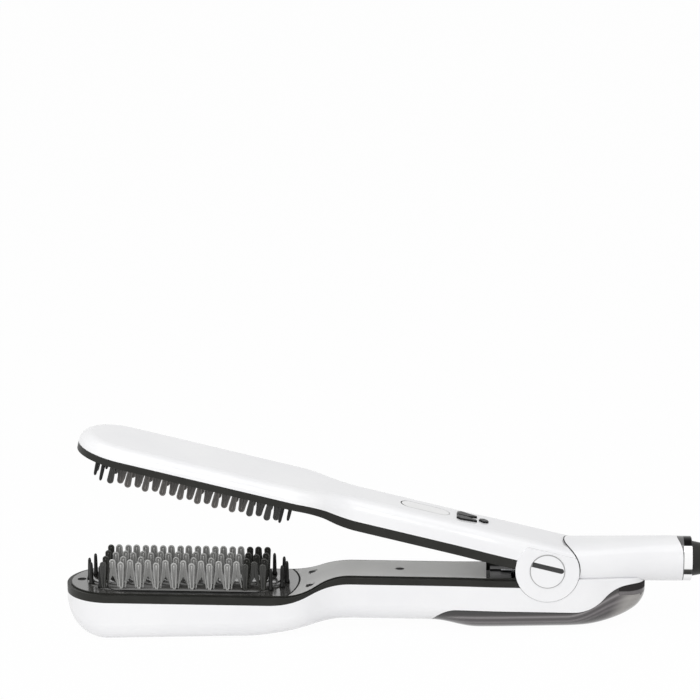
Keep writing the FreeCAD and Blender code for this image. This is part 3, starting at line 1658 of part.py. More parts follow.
def chrome_collar():
    """The bright ring that closes the tail, keeps the swivel flange in and sweeps over its top."""
    inner = float(d.boot_neck_radius + d.moving_gap)
    outer = float(d.collar_radius)
    start = float(d.tail_end + d.seat_gap / 2)
    end = float(d.tail_end + d.collar_length)
    axis = float(d.tail_axis)
    ring = long_cylinder(outer, start, end, axis).cut(long_cylinder(inner, 0, end + OVER, axis))
    ring = ring.makeChamfer(float(d.collar_bevel), [
        edge for edge in ring.Edges
        if edge.BoundBox.XMin > end - 0.01 and edge.BoundBox.ZMax > axis + outer - 0.01
    ])
    bore = float(d.boot_flange_radius + d.moving_gap)
    front = float(d.tail_end - d.collar_sweep * 2)
    tongue = long_cylinder(outer, front, start + OVER, axis).cut(long_cylinder(bore, 0, end, axis))
    return ring.fuse(tongue.common(collar_tongue()))


def swivel_socket():
    """The nylon bush in the tail in which the cord gland turns."""
    body = new_body("swivel_socket", TAIL)
    flange = d.tail_end - d.moving_gap - d.boot_flange
    start = d.tail_end - d.socket_length + 0.5
    outer = d.boot_flange_radius + d.moving_gap - 0.02
    rounds = [(0, 0, outer), (0, 0, d.journal_radius + d.shaft_play)]
    ring = circles(body, "YZ_Plane", rounds, lift=start)
    pad(body, ring, flange - d.moving_gap - start)


def cord_boot():
    """The swivelling gland: journal, flange, and a tapered ribbed boot with the cord's bore."""
    body = new_body("cord_boot", TAIL)
    flange_end = d.tail_end - d.moving_gap
    flange = flange_end - d.boot_flange
    start = d.tail_end - d.socket_length + 0.5
    collar_end = d.tail_end + d.collar_length
    tip = collar_end + d.boot_length
    shoulder = d.boot_neck_radius - d.boot_shoulder_step
    profile = [
        (start, d.cord_bore), (start, d.journal_radius), (flange, d.journal_radius),
        (flange, d.boot_flange_radius), (flange_end, d.boot_flange_radius),
        (flange_end, d.boot_neck_radius), (collar_end, d.boot_neck_radius),
        (collar_end + d.boot_shoulder, shoulder),
        (tip, d.boot_tip_radius), (tip, d.cord_bore),
    ]
    revolve(body, polygon(body, "XZ_Plane", profile), "H_Axis")
    first = collar_end + d.boot_rib_start
    low = (first, d.boot_tip_radius - d.moving_gap)
    high = (first + d.boot_groove_width, d.boot_neck_radius + OVER)
    groove = revolve(body, rectangle(body, "XZ_Plane", low, high), "H_Axis", kind="Groove")
    repeat(body, groove, "X_Axis", d.boot_rib_pitch, d.boot_rib_count)


free_form("chrome_collar", chrome_collar(), LOWER)
swivel_socket()
cord_boot()


# --- Controls ---------------------------------------------------------------------------------

def control_board():
    """The circuit board under the roof of the handle, drilled for its four posts' screws."""
    body = new_body("control_board", UPPER)
    half = d.board_width / 2
    front = -d.board_front
    low = (front, -half)
    high = (front + d.board_length, half)
    pad(body, rectangle(body, "XY_Plane", low, high, lift=d.board_height), d.board_thickness)
    rounds = [(x, y, d.board_post_radius * 0.6) for x, y in board_post_places()]
    pocket(body, circles(body, "XY_Plane", rounds, lift=d.board_height + d.board_thickness), 5.0)


def board_top():
    return d.board_height + d.board_thickness + 0.02


def lens_bottom():
    return d.upper_top_handle - d.lens_thickness


def display_module():
    body = new_body("display_module", UPPER)
    half = d.window_half - 0.6
    base = board_top()
    low = (d.board_post_inset - d.window_front, -half)
    high = (-d.window_back - d.board_post_inset, half)
    pad(body, rectangle(body, "XY_Plane", low, high, lift=base), lens_bottom() - 0.1 - base)


def display_lens():
    low = float(lens_bottom())
    high = float(d.upper_top_handle)
    lens = window(-0.02, low, high)
    return rounded(lens, 0.3, lambda edge: edge.BoundBox.ZMin > high - 0.01)


def tact_switches():
    """One push switch under each button, its top a travel and a bit below the button."""
    body = new_body("tact_switches", UPPER, several_solids=True)
    half = d.switch_side / 2
    bottom_of_buttons = d.upper_top_handle - d.shell_wall - d.seat_gap - d.button_flange
    top = bottom_of_buttons - d.button_travel - 0.1
    rear = -d.button_tip - d.rear_switch_inset
    front = d.switch_inset - d.button_front
    for x, y in ((rear, as_size(0)), (front, -d.switch_y), (front, d.switch_y)):
        corner = (x - half, y - half)
        case = rectangle(body, "XY_Plane", corner, (x + half, y + half), lift=board_top())
        pad(body, case, top - board_top() - d.button_travel)
        plunger = circles(body, "XY_Plane", [(x, y, 1.2)], lift=board_top() + 1.0)
        pad(body, plunger, top - board_top() - 1.0)


control_board()
display_module()
free_form("display_lens", display_lens(), UPPER)
tact_switches()


# --- Check and write --------------------------------------------------------------------------

def check_model():
    doc.recompute()
    for item in doc.Objects:
        if "Invalid" in item.State or "Error" in item.State:
            raise RuntimeError(f"{item.Label} did not build: {item.State}")
    for piece in SUB_PARTS:
        if piece.Shape.isNull() or not piece.Shape.isValid():
            raise RuntimeError(f"{piece.Label} has no valid shape")


check_model()
os.makedirs("parts", exist_ok=True)
for piece in SUB_PARTS:
    piece.Shape.exportStep(f"parts/{piece.Label}.step")
    print(piece.Label, len(piece.Shape.Solids), round(piece.Shape.Volume, 1))
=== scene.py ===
import json
import math

import bmesh
import bpy
from mathutils import Matrix, Vector


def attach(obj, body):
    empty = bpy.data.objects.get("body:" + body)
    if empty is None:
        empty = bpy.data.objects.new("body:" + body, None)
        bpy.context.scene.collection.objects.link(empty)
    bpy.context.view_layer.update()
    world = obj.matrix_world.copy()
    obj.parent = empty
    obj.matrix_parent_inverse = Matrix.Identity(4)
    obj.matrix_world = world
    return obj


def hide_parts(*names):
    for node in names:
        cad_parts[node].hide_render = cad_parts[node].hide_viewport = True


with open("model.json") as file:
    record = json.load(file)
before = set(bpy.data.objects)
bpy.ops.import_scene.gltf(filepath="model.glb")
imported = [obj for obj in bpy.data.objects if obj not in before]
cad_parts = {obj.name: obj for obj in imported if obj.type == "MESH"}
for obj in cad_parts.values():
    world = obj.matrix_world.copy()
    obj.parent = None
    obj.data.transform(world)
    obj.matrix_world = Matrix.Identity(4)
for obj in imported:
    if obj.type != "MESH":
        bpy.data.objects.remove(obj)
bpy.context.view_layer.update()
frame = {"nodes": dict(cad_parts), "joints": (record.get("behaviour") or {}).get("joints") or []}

# Looks of a steam hair straightener brush: two hinged arms with heated combs, a smoked water tank
# under the lower arm, push buttons and a display on the upper one, and a chromed cord end.
# Sizes are in metres. Each arm is drawn about the hinge with its plate level, then laid in place.

MM = 0.001
NODES = frame["nodes"]
JOINTS = {joint["name"]: joint for joint in frame["joints"]}


# --- The two arms -----------------------------------------------------------------------------

REST_PITCH = math.radians(2.0)
OPENING = math.radians(-JOINTS["arm_hinge"]["range_deg"][0])
HINGE = Vector(JOINTS["arm_hinge"]["pos_m"])
LOWER = Matrix.Translation(HINGE) @ Matrix.Rotation(REST_PITCH, 4, "Y")
UPPER = LOWER @ Matrix.Rotation(OPENING, 4, "Y")
ARMS = {"lower": LOWER, "upper": UPPER}
# Height of each paddle's face, and the side that it looks to
PADDLE_FACE = {"lower": -13.4 * MM, "upper": 2.0 * MM}
OUTWARD = {"lower": 1, "upper": -1}


# --- Joints and bands that the materials draw ---------------------------------------------------

# The gap behind the hub, which is round and waisted towards its middle
HUB_RADIUS = 16.0 * MM
HUB_WAIST = 14.2 * MM
HUB_HALF = 16.0 * MM
GAP_SHADOW = 0.62 * MM
# The joint round the hinge's cap, between two distances in from the cap's edge
CAP_RADIUS = 8.75 * MM
CAP_JOINT_START = 0.5 * MM
CAP_JOINT_END = 0.3 * MM
# The bowed joint between the comb plate and the handle plate
PARTING_BULGE = 125.3 * MM
PARTING_ARC = 52.0 * MM
PARTING_SHADOW = 0.8 * MM
PARTING_REACH = 32.0 * MM
# The window's painted shade along its edge, and the stretch over which it pales towards the tail
WINDOW_FRONT = -79.0 * MM
WINDOW_BACK = -53.5 * MM
WINDOW_HALF = 5.2 * MM
WINDOW_EDGE_START = 0.75 * MM
WINDOW_EDGE_END = 0.35 * MM
WINDOW_DEEP = 1.0 * MM
WINDOW_SHALLOW = 4.5 * MM
WINDOW_SHALLOW_SHADE = 0.42
# The filler lid's dark top
LID_DARK_FROM = 18.7 * MM
LID_BLEND = 0.3 * MM
# Painted reflection on the chromed collar: bands of the room's dark and white, from its low edge
# to its high one
COLLAR_LOW = -8.3 * MM
COLLAR_HIGH = 14.4 * MM
COLLAR_FRONT = 67.9 * MM
COLLAR_JOINT = 0.45 * MM
COLLAR_PAINTED_REFLECTION = (
    (0.0, "#c9c9cb"), (0.2, "#f4f4f5"), (0.25, "#f4f4f5"), (0.27, "#2e2e2e"), (0.38, "#4a4a48"),
    (0.41, "#f6f6f6"), (0.86, "#ffffff"), (0.885, "#1d1d1d"), (1.0, "#101010"),
)
# The tank: its upper edge climbs from the belly to the heel, and painted bands of light and shade
# follow that edge
TANK_BELLY = 78.0 * MM
TANK_HEEL = 116.0 * MM
TANK_BELLY_EDGE = 8.8 * MM
TANK_HEEL_EDGE = 22.5 * MM
TANK_WIDENS_FROM = 88.0 * MM
TANK_NARROW = 8.8 * MM
TANK_WIDE = 13.0 * MM
TANK_PAINTED_BANDS = (
    (0.0, "#1f1c1d"), (0.09, "#3a3536"), (0.2, "#858182"), (0.29, "#4a4547"), (0.4, "#3a3537"),
    (0.52, "#6e696b"), (0.62, "#3c3739"), (0.74, "#5c5759"), (0.86, "#2c2829"), (1.0, "#4a4546"),
)
CRESCENT_LEAN = -0.55
CRESCENT_START = 94.0 * MM
CRESCENT_END = 103.0 * MM
CRESCENT_SHARE = 0.8
TANK_TIP = 14.0 * MM
TANK_TIP_END = 26.0 * MM
TANK_TIP_SHARE = 0.92


# --- Colours and shader nodes -----------------------------------------------------------------

# Share of the named roughness that a surface has where its texture is lowest and highest
PLASTIC_WEAR = (0.85, 1.2)
METAL_WEAR = (0.7, 1.3)
COAT_WEAR = (1.2, 0.8)
PLASTIC_IOR = 1.5
TANK_IOR = 1.57
PATCH_EDGES = (0.3, 0.7)
STREAK_STRETCH = 0.02
COAT_GRAIN = 0.9 * MM
COAT_RELIEF = 0.008 * MM
COAT_UNEVEN = 0.12


def colour(code):
    """An sRGB hex code as a linear RGBA colour."""
    channels = [int(code[place:place + 2], 16) / 255 for place in (1, 3, 5)]
    linear = [c / 12.92 if c <= 0.04045 else ((c + 0.055) / 1.055) ** 2.4 for c in channels]
    return (*linear, 1.0)


def add(tree, kind, settings=None, values=None, links=None):
    """Adds a node with its settings, its socket values and what feeds its sockets."""
    made = tree.nodes.new(kind)
    for name, value in (settings or {}).items():
        setattr(made, name, value)
    for socket, value in (values or {}).items():
        made.inputs[socket].default_value = value
    for socket, source in (links or {}).items():
        tree.links.new(source, made.inputs[socket])
    return made


def calc(tree, operation, *terms, clamp=False):
    """The result of one sum on numbers and sockets."""
    values = {place: term for place, term in enumerate(terms) if isinstance(term, (int, float))}
    links = {place: term for place, term in enumerate(terms) if place not in values}
    return add(tree, "ShaderNodeMath", {"operation": operation, "use_clamp": clamp},
               values, links).outputs[0]


def graded(tree, source, start, end, low=0.0, high=1.0, smooth=False):
    """A value that goes from low to high while its source goes from start to end."""
    style = "SMOOTHSTEP" if smooth else "LINEAR"
    return add(tree, "ShaderNodeMapRange", {"interpolation_type": style},
               {"From Min": start, "From Max": end, "To Min": low, "To Max": high},
               {"Value": source}).outputs[0]


def mixed(tree, share, first, second):
    """A colour between a first and a second one, each a colour code or a socket."""
    tones = {6: first, 7: second}
    values = {place: colour(tone) for place, tone in tones.items() if isinstance(tone, str)}
    links = {place: tone for place, tone in tones.items() if place not in values}
    return add(tree, "ShaderNodeMix", {"data_type": "RGBA"}, values,
               {0: share, **links}).outputs[2]


def banded(tree, share, stops):
    """A colour that runs through stops, each a place from 0 to 1 and a colour code."""
    node = add(tree, "ShaderNodeValToRGB", links={"Fac": share})
    for position, code in stops[1:-1]:
        node.color_ramp.elements.new(position)
    for element, (position, code) in zip(node.color_ramp.elements, stops):
        element.position = position
        element.color = colour(code)
    return node.outputs[0]


def noise(tree, place, size, detail=2.0):
    """Soft noise whose features are about the given size."""
    return add(tree, "ShaderNodeTexNoise", values={"Scale": 1 / size, "Detail": detail},
               links={"Vector": place}).outputs["Fac"]


def blotches(tree, place, size, light, dark):
    """A colour that drifts between two tones in soft patches of the given size."""
    share = graded(tree, noise(tree, place, size, detail=3.0), *PATCH_EDGES)
    return mixed(tree, share, dark, light)


def worn(tree, source, roughness, wear):
    """A roughness that varies with a texture."""
    return graded(tree, source, 0.0, 1.0, roughness * wear[0], roughness * wear[1])


def bumped(tree, height, relief):
    """The surface's slope where a texture of the given depth lies on it."""
    return add(tree, "ShaderNodeBump", values={"Strength": 1.0, "Distance": relief},
               links={"Height": height}).outputs[0]


def split(tree, vector):
    """A vector's three numbers, by the name of their axis."""
    return add(tree, "ShaderNodeSeparateXYZ", links={"Vector": vector}).outputs


def length(tree, vector):
    return add(tree, "ShaderNodeVectorMath", {"operation": "LENGTH"},
               links={0: vector}).outputs["Value"]


def new_material(name):
    """An empty material, its node tree, and the place on the object that textures start from."""
    material = bpy.data.materials.new(name)
    material.use_nodes = True
    tree = material.node_tree
    tree.nodes.clear()
    return material, tree, add(tree, "ShaderNodeTexCoord").outputs["Object"]


def close(tree, shader):
    add(tree, "ShaderNodeOutputMaterial", links={"Surface": shader.outputs[0]})


def surface(tree, values, links):
    """Ends a material in a Principled shader."""
    close(tree, add(tree, "ShaderNodeBsdfPrincipled", values=values, links=links))


def laid_level(tree, place, arm):
    """A place in the arm's own frame, with the hinge at zero and the plates level."""
    back = ARMS[arm].inverted()
    level = add(tree, "ShaderNodeMapping",
                values={"Location": back.translation, "Rotation": back.to_euler()},
                links={"Vector": place})
    return level.outputs[0]


def hinge_distance(tree, level):
    """How far a level place is from the hinge's axis."""
    flat = add(tree, "ShaderNodeVectorMath", {"operation": "MULTIPLY"}, {1: (1, 0, 1)}, {0: level})
    return length(tree, flat.outputs[0])


# --- Joints, each 1 in its shadow and 0 beside it -----------------------------------------------

def hub_gap(tree, place):
    """The gap between the round hub and the tail's front edge, waisted as the hub is."""
    level = laid_level(tree, place, "lower")
    share = calc(tree, "DIVIDE", split(tree, level)["Y"], HUB_HALF)
    edge = calc(tree, "MULTIPLY_ADD", calc(tree, "POWER", share, 2.0),
                HUB_RADIUS - HUB_WAIST, HUB_WAIST + GAP_SHADOW)
    return calc(tree, "LESS_THAN", hinge_distance(tree, level), edge)


def cap_edge(tree, place):
    """The fine joint round the hinge's cap."""
    level = laid_level(tree, place, "lower")
    return graded(tree, hinge_distance(tree, level),
                  CAP_RADIUS - CAP_JOINT_START, CAP_RADIUS - CAP_JOINT_END)


def comb_parting(arm):
    def seam(tree, place):
        """The bowed joint between the comb plate and the handle plate."""
        level = laid_level(tree, place, arm)
        moved = add(tree, "ShaderNodeVectorMath", {"operation": "MULTIPLY_ADD"},
                    {1: (1, 1, 0), 2: (PARTING_BULGE + PARTING_ARC, 0, 0)}, {0: level})
        # the nose end of the plate has no such joint
        tailward = add(tree, "ShaderNodeVectorMath", {"operation": "MAXIMUM"},
                       {1: (0, -PARTING_REACH, 0)}, {0: moved.outputs[0]})
        return calc(tree, "GREATER_THAN", length(tree, tailward.outputs[0]),
                    PARTING_ARC - PARTING_SHADOW)
    return seam


def window_outline(tree, place):
    """The painted shade along the edge of the display window, all round its slot-shaped outline.
    """
    axes = split(tree, laid_level(tree, place, "upper"))
    middle = (WINDOW_FRONT + WINDOW_BACK) / 2
    straight = (WINDOW_BACK - WINDOW_FRONT) / 2 - WINDOW_HALF
    away = calc(tree, "ABSOLUTE", calc(tree, "SUBTRACT", axes["X"], middle))
    away = calc(tree, "MAXIMUM", calc(tree, "SUBTRACT", away, straight), 0.0)
    spot = add(tree, "ShaderNodeCombineXYZ", links={"X": away, "Y": axes["Y"]})
    edge = graded(tree, length(tree, spot.outputs[0]),
                  WINDOW_HALF - WINDOW_EDGE_START, WINDOW_HALF - WINDOW_EDGE_END)
    # the front end lies deepest, and its painted shade is darker
    deep = graded(tree, axes["X"], WINDOW_FRONT + WINDOW_DEEP, WINDOW_FRONT + WINDOW_SHALLOW,
                  1.0, WINDOW_SHALLOW_SHADE)
    return calc(tree, "MULTIPLY", edge, deep)


def lid_top(tree, place):
    """The thick dark top of the filler's lid; the wall under it is as clear as the tank."""
    return graded(tree, split(tree, place)["Z"],
                  LID_DARK_FROM - LID_BLEND, LID_DARK_FROM + LID_BLEND)


# --- Kinds of material --------------------------------------------------------------------------

def moulded(name, light, dark, roughness, patch, grain, relief, coat=0.0, coat_roughness=0.05,
            shine=0.5, seam=None, seam_code="#2c2c2c"):
    """Injection-moulded plastic: its tone drifts in patches, and the tool left a fine grain.
    Where a seam is given, the shadow in it is drawn as a thin matt line."""
    material, tree, place = new_material(name)
    tone = blotches(tree, place, patch, light, dark)
    texture = noise(tree, place, grain)
    rough = worn(tree, texture, roughness, PLASTIC_WEAR)
    links = {"Normal": bumped(tree, texture, relief)}
    if seam:
        line = seam(tree, place)
        tone = mixed(tree, line, tone, seam_code)
        rough = calc(tree, "MAXIMUM", rough, line)
        # the gloss coat stops at the seam's edge
        links["Coat Weight"] = graded(tree, line, 0.0, 1.0, coat, 0.0)
    surface(tree, {"IOR": PLASTIC_IOR, "Coat Weight": coat, "Coat Roughness": coat_roughness,
                   "Specular IOR Level": shine},
            {"Base Color": tone, "Roughness": rough, **links})
    return material


def white_abs(name, **seam):
    """Glossy white ABS: bright, wet-looking, with a faint orange peel from the polished mould."""
    return moulded(name, "#f6f6f7", "#f1f1f3", roughness=0.16, patch=30 * MM, grain=2.5 * MM,
                   relief=0.004 * MM, coat=0.35, **seam)


def metal(name, light, dark, roughness, streak, turned=False):
    """Bare or plated metal; fine streaks run along X, or round X on turned pieces."""
    material, tree, place = new_material(name)
    stretch = (1, STREAK_STRETCH, STREAK_STRETCH) if turned else (STREAK_STRETCH, 1, 1)
    drawn = add(tree, "ShaderNodeMapping", values={"Scale": stretch}, links={"Vector": place})
    lines = noise(tree, drawn.outputs[0], streak, detail=3.0)
    surface(tree, {"Metallic": 1.0},
            {"Base Color": mixed(tree, lines, dark, light),
             "Roughness": worn(tree, lines, roughness, METAL_WEAR)})
    return material


def tooth_with_painted_light(name, light, dark, roughness):
    """Moulded teeth under a dipped gloss coat, with painted light and shade: dark on the webs,
    painted highlights on the edges.
    """
    material, tree, place = new_material(name)
    # the mesh's "shade" value says where light and shade are painted
    shade = add(tree, "ShaderNodeAttribute", {"attribute_name": "shade"})
    grain = noise(tree, place, COAT_GRAIN)
    uneven = graded(tree, grain, 0.0, 1.0, -COAT_UNEVEN, COAT_UNEVEN)
    share = calc(tree, "ADD", shade.outputs["Fac"], uneven, clamp=True)
    surface(tree, {"IOR": PLASTIC_IOR, "Coat Weight": 0.2, "Coat Roughness": 0.2},
            {"Base Color": mixed(tree, share, dark, light),
             "Roughness": worn(tree, share, roughness, COAT_WEAR),
             "Normal": bumped(tree, grain, COAT_RELIEF)})
    return material


def chrome_with_painted_reflection():
    """Chrome plating on the collar, a hard mirror, with a painted reflection: the dark and the
    white of the room are painted into its colour in bands that follow its height, and the joint to
    the housing shows as a thin grey line."""
    material, tree, place = new_material("bright_chrome_collar")
    axes = split(tree, laid_level(tree, place, "lower"))
    # painted reflection of the room, in bands by height
    bands = banded(tree, graded(tree, axes["Z"], COLLAR_LOW, COLLAR_HIGH), COLLAR_PAINTED_REFLECTION)
    joint = calc(tree, "LESS_THAN", axes["X"], COLLAR_FRONT + COLLAR_JOINT)
    swirl = noise(tree, place, 1.5 * MM)
    surface(tree, {"Metallic": 1.0},
            {"Base Color": mixed(tree, joint, bands, "#707070"),
             "Roughness": graded(tree, swirl, 0.0, 1.0, 0.03, 0.07)})
    return material


def smoked_tank():
    """Smoke-tinted moulded tank: dark along its seam, with painted bands of light and shade that
    follow its curve.
    """
    material, tree, place = new_material("smoked_san_tank")
    axes = split(tree, place)
    upper_edge = graded(tree, axes["X"], TANK_BELLY, TANK_HEEL, TANK_BELLY_EDGE, TANK_HEEL_EDGE,
                        smooth=True)
    below = calc(tree, "SUBTRACT", upper_edge, axes["Z"])
    heel = graded(tree, axes["X"], TANK_WIDENS_FROM, TANK_HEEL, smooth=True)
    width = graded(tree, heel, 0.0, 1.0, TANK_NARROW, TANK_WIDE)
    # painted light and shade, in bands below the upper edge
    tone = banded(tree, calc(tree, "DIVIDE", below, width), TANK_PAINTED_BANDS)
    # painted light: a pale crescent behind the heel, where the wall turns away and lets the light
    # through
    lean = calc(tree, "MULTIPLY_ADD", axes["Z"], CRESCENT_LEAN, axes["X"])
    crescent = graded(tree, lean, CRESCENT_START, CRESCENT_END, 0.0, CRESCENT_SHARE, smooth=True)
    tone = mixed(tree, crescent, tone, "#a5a29e")
    # painted shade: its thin front tip closes to a dark point
    tip = graded(tree, axes["X"], TANK_TIP, TANK_TIP_END, TANK_TIP_SHARE, 0.0, smooth=True)
    tone = mixed(tree, tip, tone, "#0d0c0c")
    mist = noise(tree, place, 0.7 * MM)
    surface(tree, {"Roughness": 0.12, "IOR": TANK_IOR, "Coat Weight": 0.6, "Coat Roughness": 0.04},
            {"Base Color": tone, "Normal": bumped(tree, mist, 0.004 * MM)})
    return material


# --- Finishes ---------------------------------------------------------------------------------

# Glossy white housings of both arms.
WHITE_ABS = white_abs("polished_white_abs")
# The same plastic on the tail, with the dark gap behind the hub.
TAIL_ABS = white_abs("polished_white_tail", seam=hub_gap)
# The same plastic on the hinge's caps, with the fine joint round them.
CAP_ABS = white_abs("polished_white_cap", seam=cap_edge, seam_code="#a9a9a9")
# Spark-eroded dark nylon rim: warm near-black, its fine grain breaks up every highlight.
RIM_NYLON = moulded("grained_dark_nylon_rim", "#272724", "#1f1f1c", roughness=0.42, patch=9 * MM,
                    grain=0.45 * MM, relief=0.012 * MM, shine=0.25)
# Lacquered plate under the comb: dark grey with soft reflections of the teeth.
COMB_LACQUER = {
    arm: moulded(f"lacquered_{arm}_comb_plate", "#4b4b49", "#403f3d", roughness=0.2,
                 patch=18 * MM, grain=1.6 * MM, relief=0.004 * MM, coat=0.6, coat_roughness=0.1,
                 seam=comb_parting(arm), seam_code="#0c0c0c")
    for arm in ARMS
}
# Satin grey plate along the handle: pale, even and dry.
HANDLE_SATIN = moulded("satin_handle_plate", "#c6c6c4", "#bcbcba", roughness=0.38,
                       patch=22 * MM, grain=0.6 * MM, relief=0.006 * MM)
# Satin black bead round the bed of the teeth: one soft line of light.
COLLAR_BLACK = moulded("satin_black_collar", "#20201f", "#161615", roughness=0.35,
                       patch=8 * MM, grain=1.2 * MM, relief=0.003 * MM, coat=0.1,
                       coat_roughness=0.2, shine=0.2)
# Matt black floor between the teeth: it stays dark in their shade.
BED_MATT = moulded("matt_black_bed", "#1b1b1a", "#121211", roughness=0.7, patch=8 * MM,
                   grain=0.7 * MM, relief=0.01 * MM, shine=0.1)
# Ceramic coat on the middle teeth: pale grey, a little chalky, with painted highlights on the
# edges, feet and ball.
TOOTH_CERAMIC = tooth_with_painted_light("ceramic_coated_tooth", "#c2c2c0", "#474745", roughness=0.34)
# The same teeth moulded in black at the ends of the comb, with faint painted highlights on their
# edges.
TOOTH_BLACK = tooth_with_painted_light("black_end_tooth", "#3c3c38", "#0e0e0d", roughness=0.3)
# Smoky grey teeth of the upper comb: darker and warmer than the lower ones, with the same painted
# light and shade.
TOOTH_SMOKE = tooth_with_painted_light("smoky_upper_tooth", "#75706c", "#151413", roughness=0.32)
# Guard bristles in plain black nylon: dark, with a dim line of light down each.
BRISTLE_NYLON = moulded("black_nylon_bristle", "#191918", "#0e0e0d", roughness=0.35,
                        patch=3 * MM, grain=0.5 * MM, relief=0.006 * MM, shine=0.3)
# Button caps: near-black and smooth, with hardly any gloss.
BUTTON_GLOSS = moulded("dark_button_gloss", "#181818", "#0e0e0e", roughness=0.3, patch=3 * MM,
                       grain=0.8 * MM, relief=0.004 * MM, coat=0.05, shine=0.15)
# Display window: near-white acrylic, polished, with painted shade along its edge where it sinks
# into the arm.
WINDOW_ACRYLIC = moulded("pale_window_acrylic", "#f4f4f4", "#ececec", roughness=0.08,
                         patch=9 * MM, grain=3 * MM, relief=0.002 * MM, coat=0.6,
                         coat_roughness=0.02, seam=window_outline, seam_code="#1c1c1c")
# Bar across the hinge's cap: black, slightly worn.
INSERT_BLACK = moulded("black_hinge_insert", "#303030", "#262626", roughness=0.3, patch=4 * MM,
                       grain=0.6 * MM, relief=0.006 * MM)
# Filler lid: the tank's smoky grey, under a thick dark top.
LID_BLACK = moulded("smoked_black_lid", "#6f6b6c", "#5d595a", roughness=0.22, patch=6 * MM,
                    grain=0.8 * MM, relief=0.005 * MM, coat=0.3, seam=lid_top,
                    seam_code="#262324")
# Soft PVC of the cord boot: dull near-black that scatters its light.
BOOT_PVC = moulded("soft_pvc_boot", "#22221f", "#171715", roughness=0.45, patch=7 * MM,
                   grain=0.4 * MM, relief=0.015 * MM, shine=0.3)
# Natural nylon bushes: creamy, with a soft bloom.
NYLON = moulded("natural_nylon", "#d9d6c9", "#cbc8ba", roughness=0.45, patch=5 * MM,
                grain=0.5 * MM, relief=0.01 * MM)
# Silicone of the hoses: milky and waxy.
SILICONE = moulded("milky_silicone", "#e4e2dc", "#d6d4cd", roughness=0.5, patch=6 * MM,
                   grain=0.6 * MM, relief=0.008 * MM)
# Glass-filled black of the bracket, pump, switches and display block: its fibres roughen it.
BLOCK_BLACK = moulded("glass_filled_black_block", "#131211", "#0b0b0a", roughness=0.35,
                      patch=4 * MM, grain=0.5 * MM, relief=0.02 * MM, shine=0.25)
# Solder mask of the circuit board: an even, fairly dull green.
BOARD_GREEN = moulded("green_circuit_board", "#2e6b3c", "#23562f", roughness=0.4,
                      patch=6 * MM, grain=1.0 * MM, relief=0.01 * MM)
CHROME = chrome_with_painted_reflection()
# Zinc plating on the steel parts: cool grey, with fine turned lines.
ZINC = metal("zinc_plated_steel", "#b9bbbc", "#8f9193", roughness=0.3, streak=0.6 * MM,
             turned=True)
# Black anodised heater plate: matt, it swallows the light between the teeth.
ANODISED_BLACK = metal("black_anodised_heater", "#2c2c2b", "#1d1d1c", roughness=0.6,
                       streak=0.8 * MM)
# Blackened screws, sunk in their holes: they read as dark spots.
SCREW_BLACK = metal("black_oxide_screw", "#101010", "#080808", roughness=0.6, streak=0.6 * MM,
                    turned=True)
# Drawn aluminium of heaters and boiler: pale grey, with long soft streaks.
ALUMINIUM = metal("drawn_aluminium", "#a9aaab", "#8b8c8d", roughness=0.35, streak=0.8 * MM)
TANK_SMOKE = smoked_tank()
TOOTH_FINISH = {"lower": TOOTH_CERAMIC, "upper": TOOTH_SMOKE}

FINISHES = {
    "lower_shell": WHITE_ABS, "upper_shell": WHITE_ABS, "tail_shell": TAIL_ABS,
    "hinge_caps": CAP_ABS, "water_tank": TANK_SMOKE, "tank_filler_lid": LID_BLACK,
    "lower_rim_frame": RIM_NYLON, "upper_rim_frame": RIM_NYLON,
    "lower_comb_plate": COMB_LACQUER["lower"], "upper_comb_plate": COMB_LACQUER["upper"],
    "lower_handle_plate": HANDLE_SATIN, "upper_handle_plate": HANDLE_SATIN,
    "lower_comb_insert": COLLAR_BLACK, "upper_comb_insert": COLLAR_BLACK,
    "lower_heater_plate": ANODISED_BLACK, "upper_heater_plate": ANODISED_BLACK,
    "lower_heating_teeth": TOOTH_CERAMIC, "upper_heating_teeth": TOOTH_SMOKE,
    "lower_guard_bristles": BRISTLE_NYLON, "upper_guard_bristles": BRISTLE_NYLON,
    "button_power": BUTTON_GLOSS, "button_plus": BUTTON_GLOSS, "button_minus": BUTTON_GLOSS,
    "lower_plate_screws": SCREW_BLACK, "upper_plate_screws": SCREW_BLACK,
    "hinge_bracket": BLOCK_BLACK, "hinge_bushes": NYLON, "hinge_shaft": ZINC,
    "hinge_screws": ZINC, "hinge_cap_inserts": INSERT_BLACK, "torsion_spring": ZINC,
    "lower_heating_element": ALUMINIUM, "upper_heating_element": ALUMINIUM,
    "lower_thermostat": ZINC, "steam_generator": ALUMINIUM, "steam_duct": ZINC,
    "water_pump": BLOCK_BLACK, "tank_seal": BOOT_PVC, "suction_hose": SILICONE,
    "delivery_hose": SILICONE, "chrome_collar": CHROME, "swivel_socket": NYLON,
    "cord_boot": BOOT_PVC, "control_board": BOARD_GREEN, "display_module": BLOCK_BLACK,
    "display_lens": WINDOW_ACRYLIC, "tact_switches": BLOCK_BLACK,
}
for name, material in FINISHES.items():
    NODES[name].data.materials.clear()
    NODES[name].data.materials.append(material)


# --- Shapes shared by the pieces --------------------------------------------------------------

def piece(name, mesh, body, slot, *replaced):
    """A finished object that rides on a body and stands for the CAD nodes it replaces."""
    made = bpy.data.objects.new(name, mesh)
    bpy.context.scene.collection.objects.link(made)
    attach(made, body)
    if replaced:
        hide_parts(*replaced)
    return made


def on_paddle(arm, height):
    """The place at a height above an arm's paddle, where up points to the other arm."""
    outward = OUTWARD[arm]
    face = Matrix.Translation((0, 0, PADDLE_FACE[arm] + outward * height))
    return ARMS[arm] @ face @ Matrix.Diagonal((1, 1, outward, 1))


def laid(mesh, placement):
    """A mesh in its place; one that was mirrored has its faces turned outwards again."""
    mesh.transform(placement)
    if placement.determinant() < 0:
        mesh.flip_normals()
    return mesh


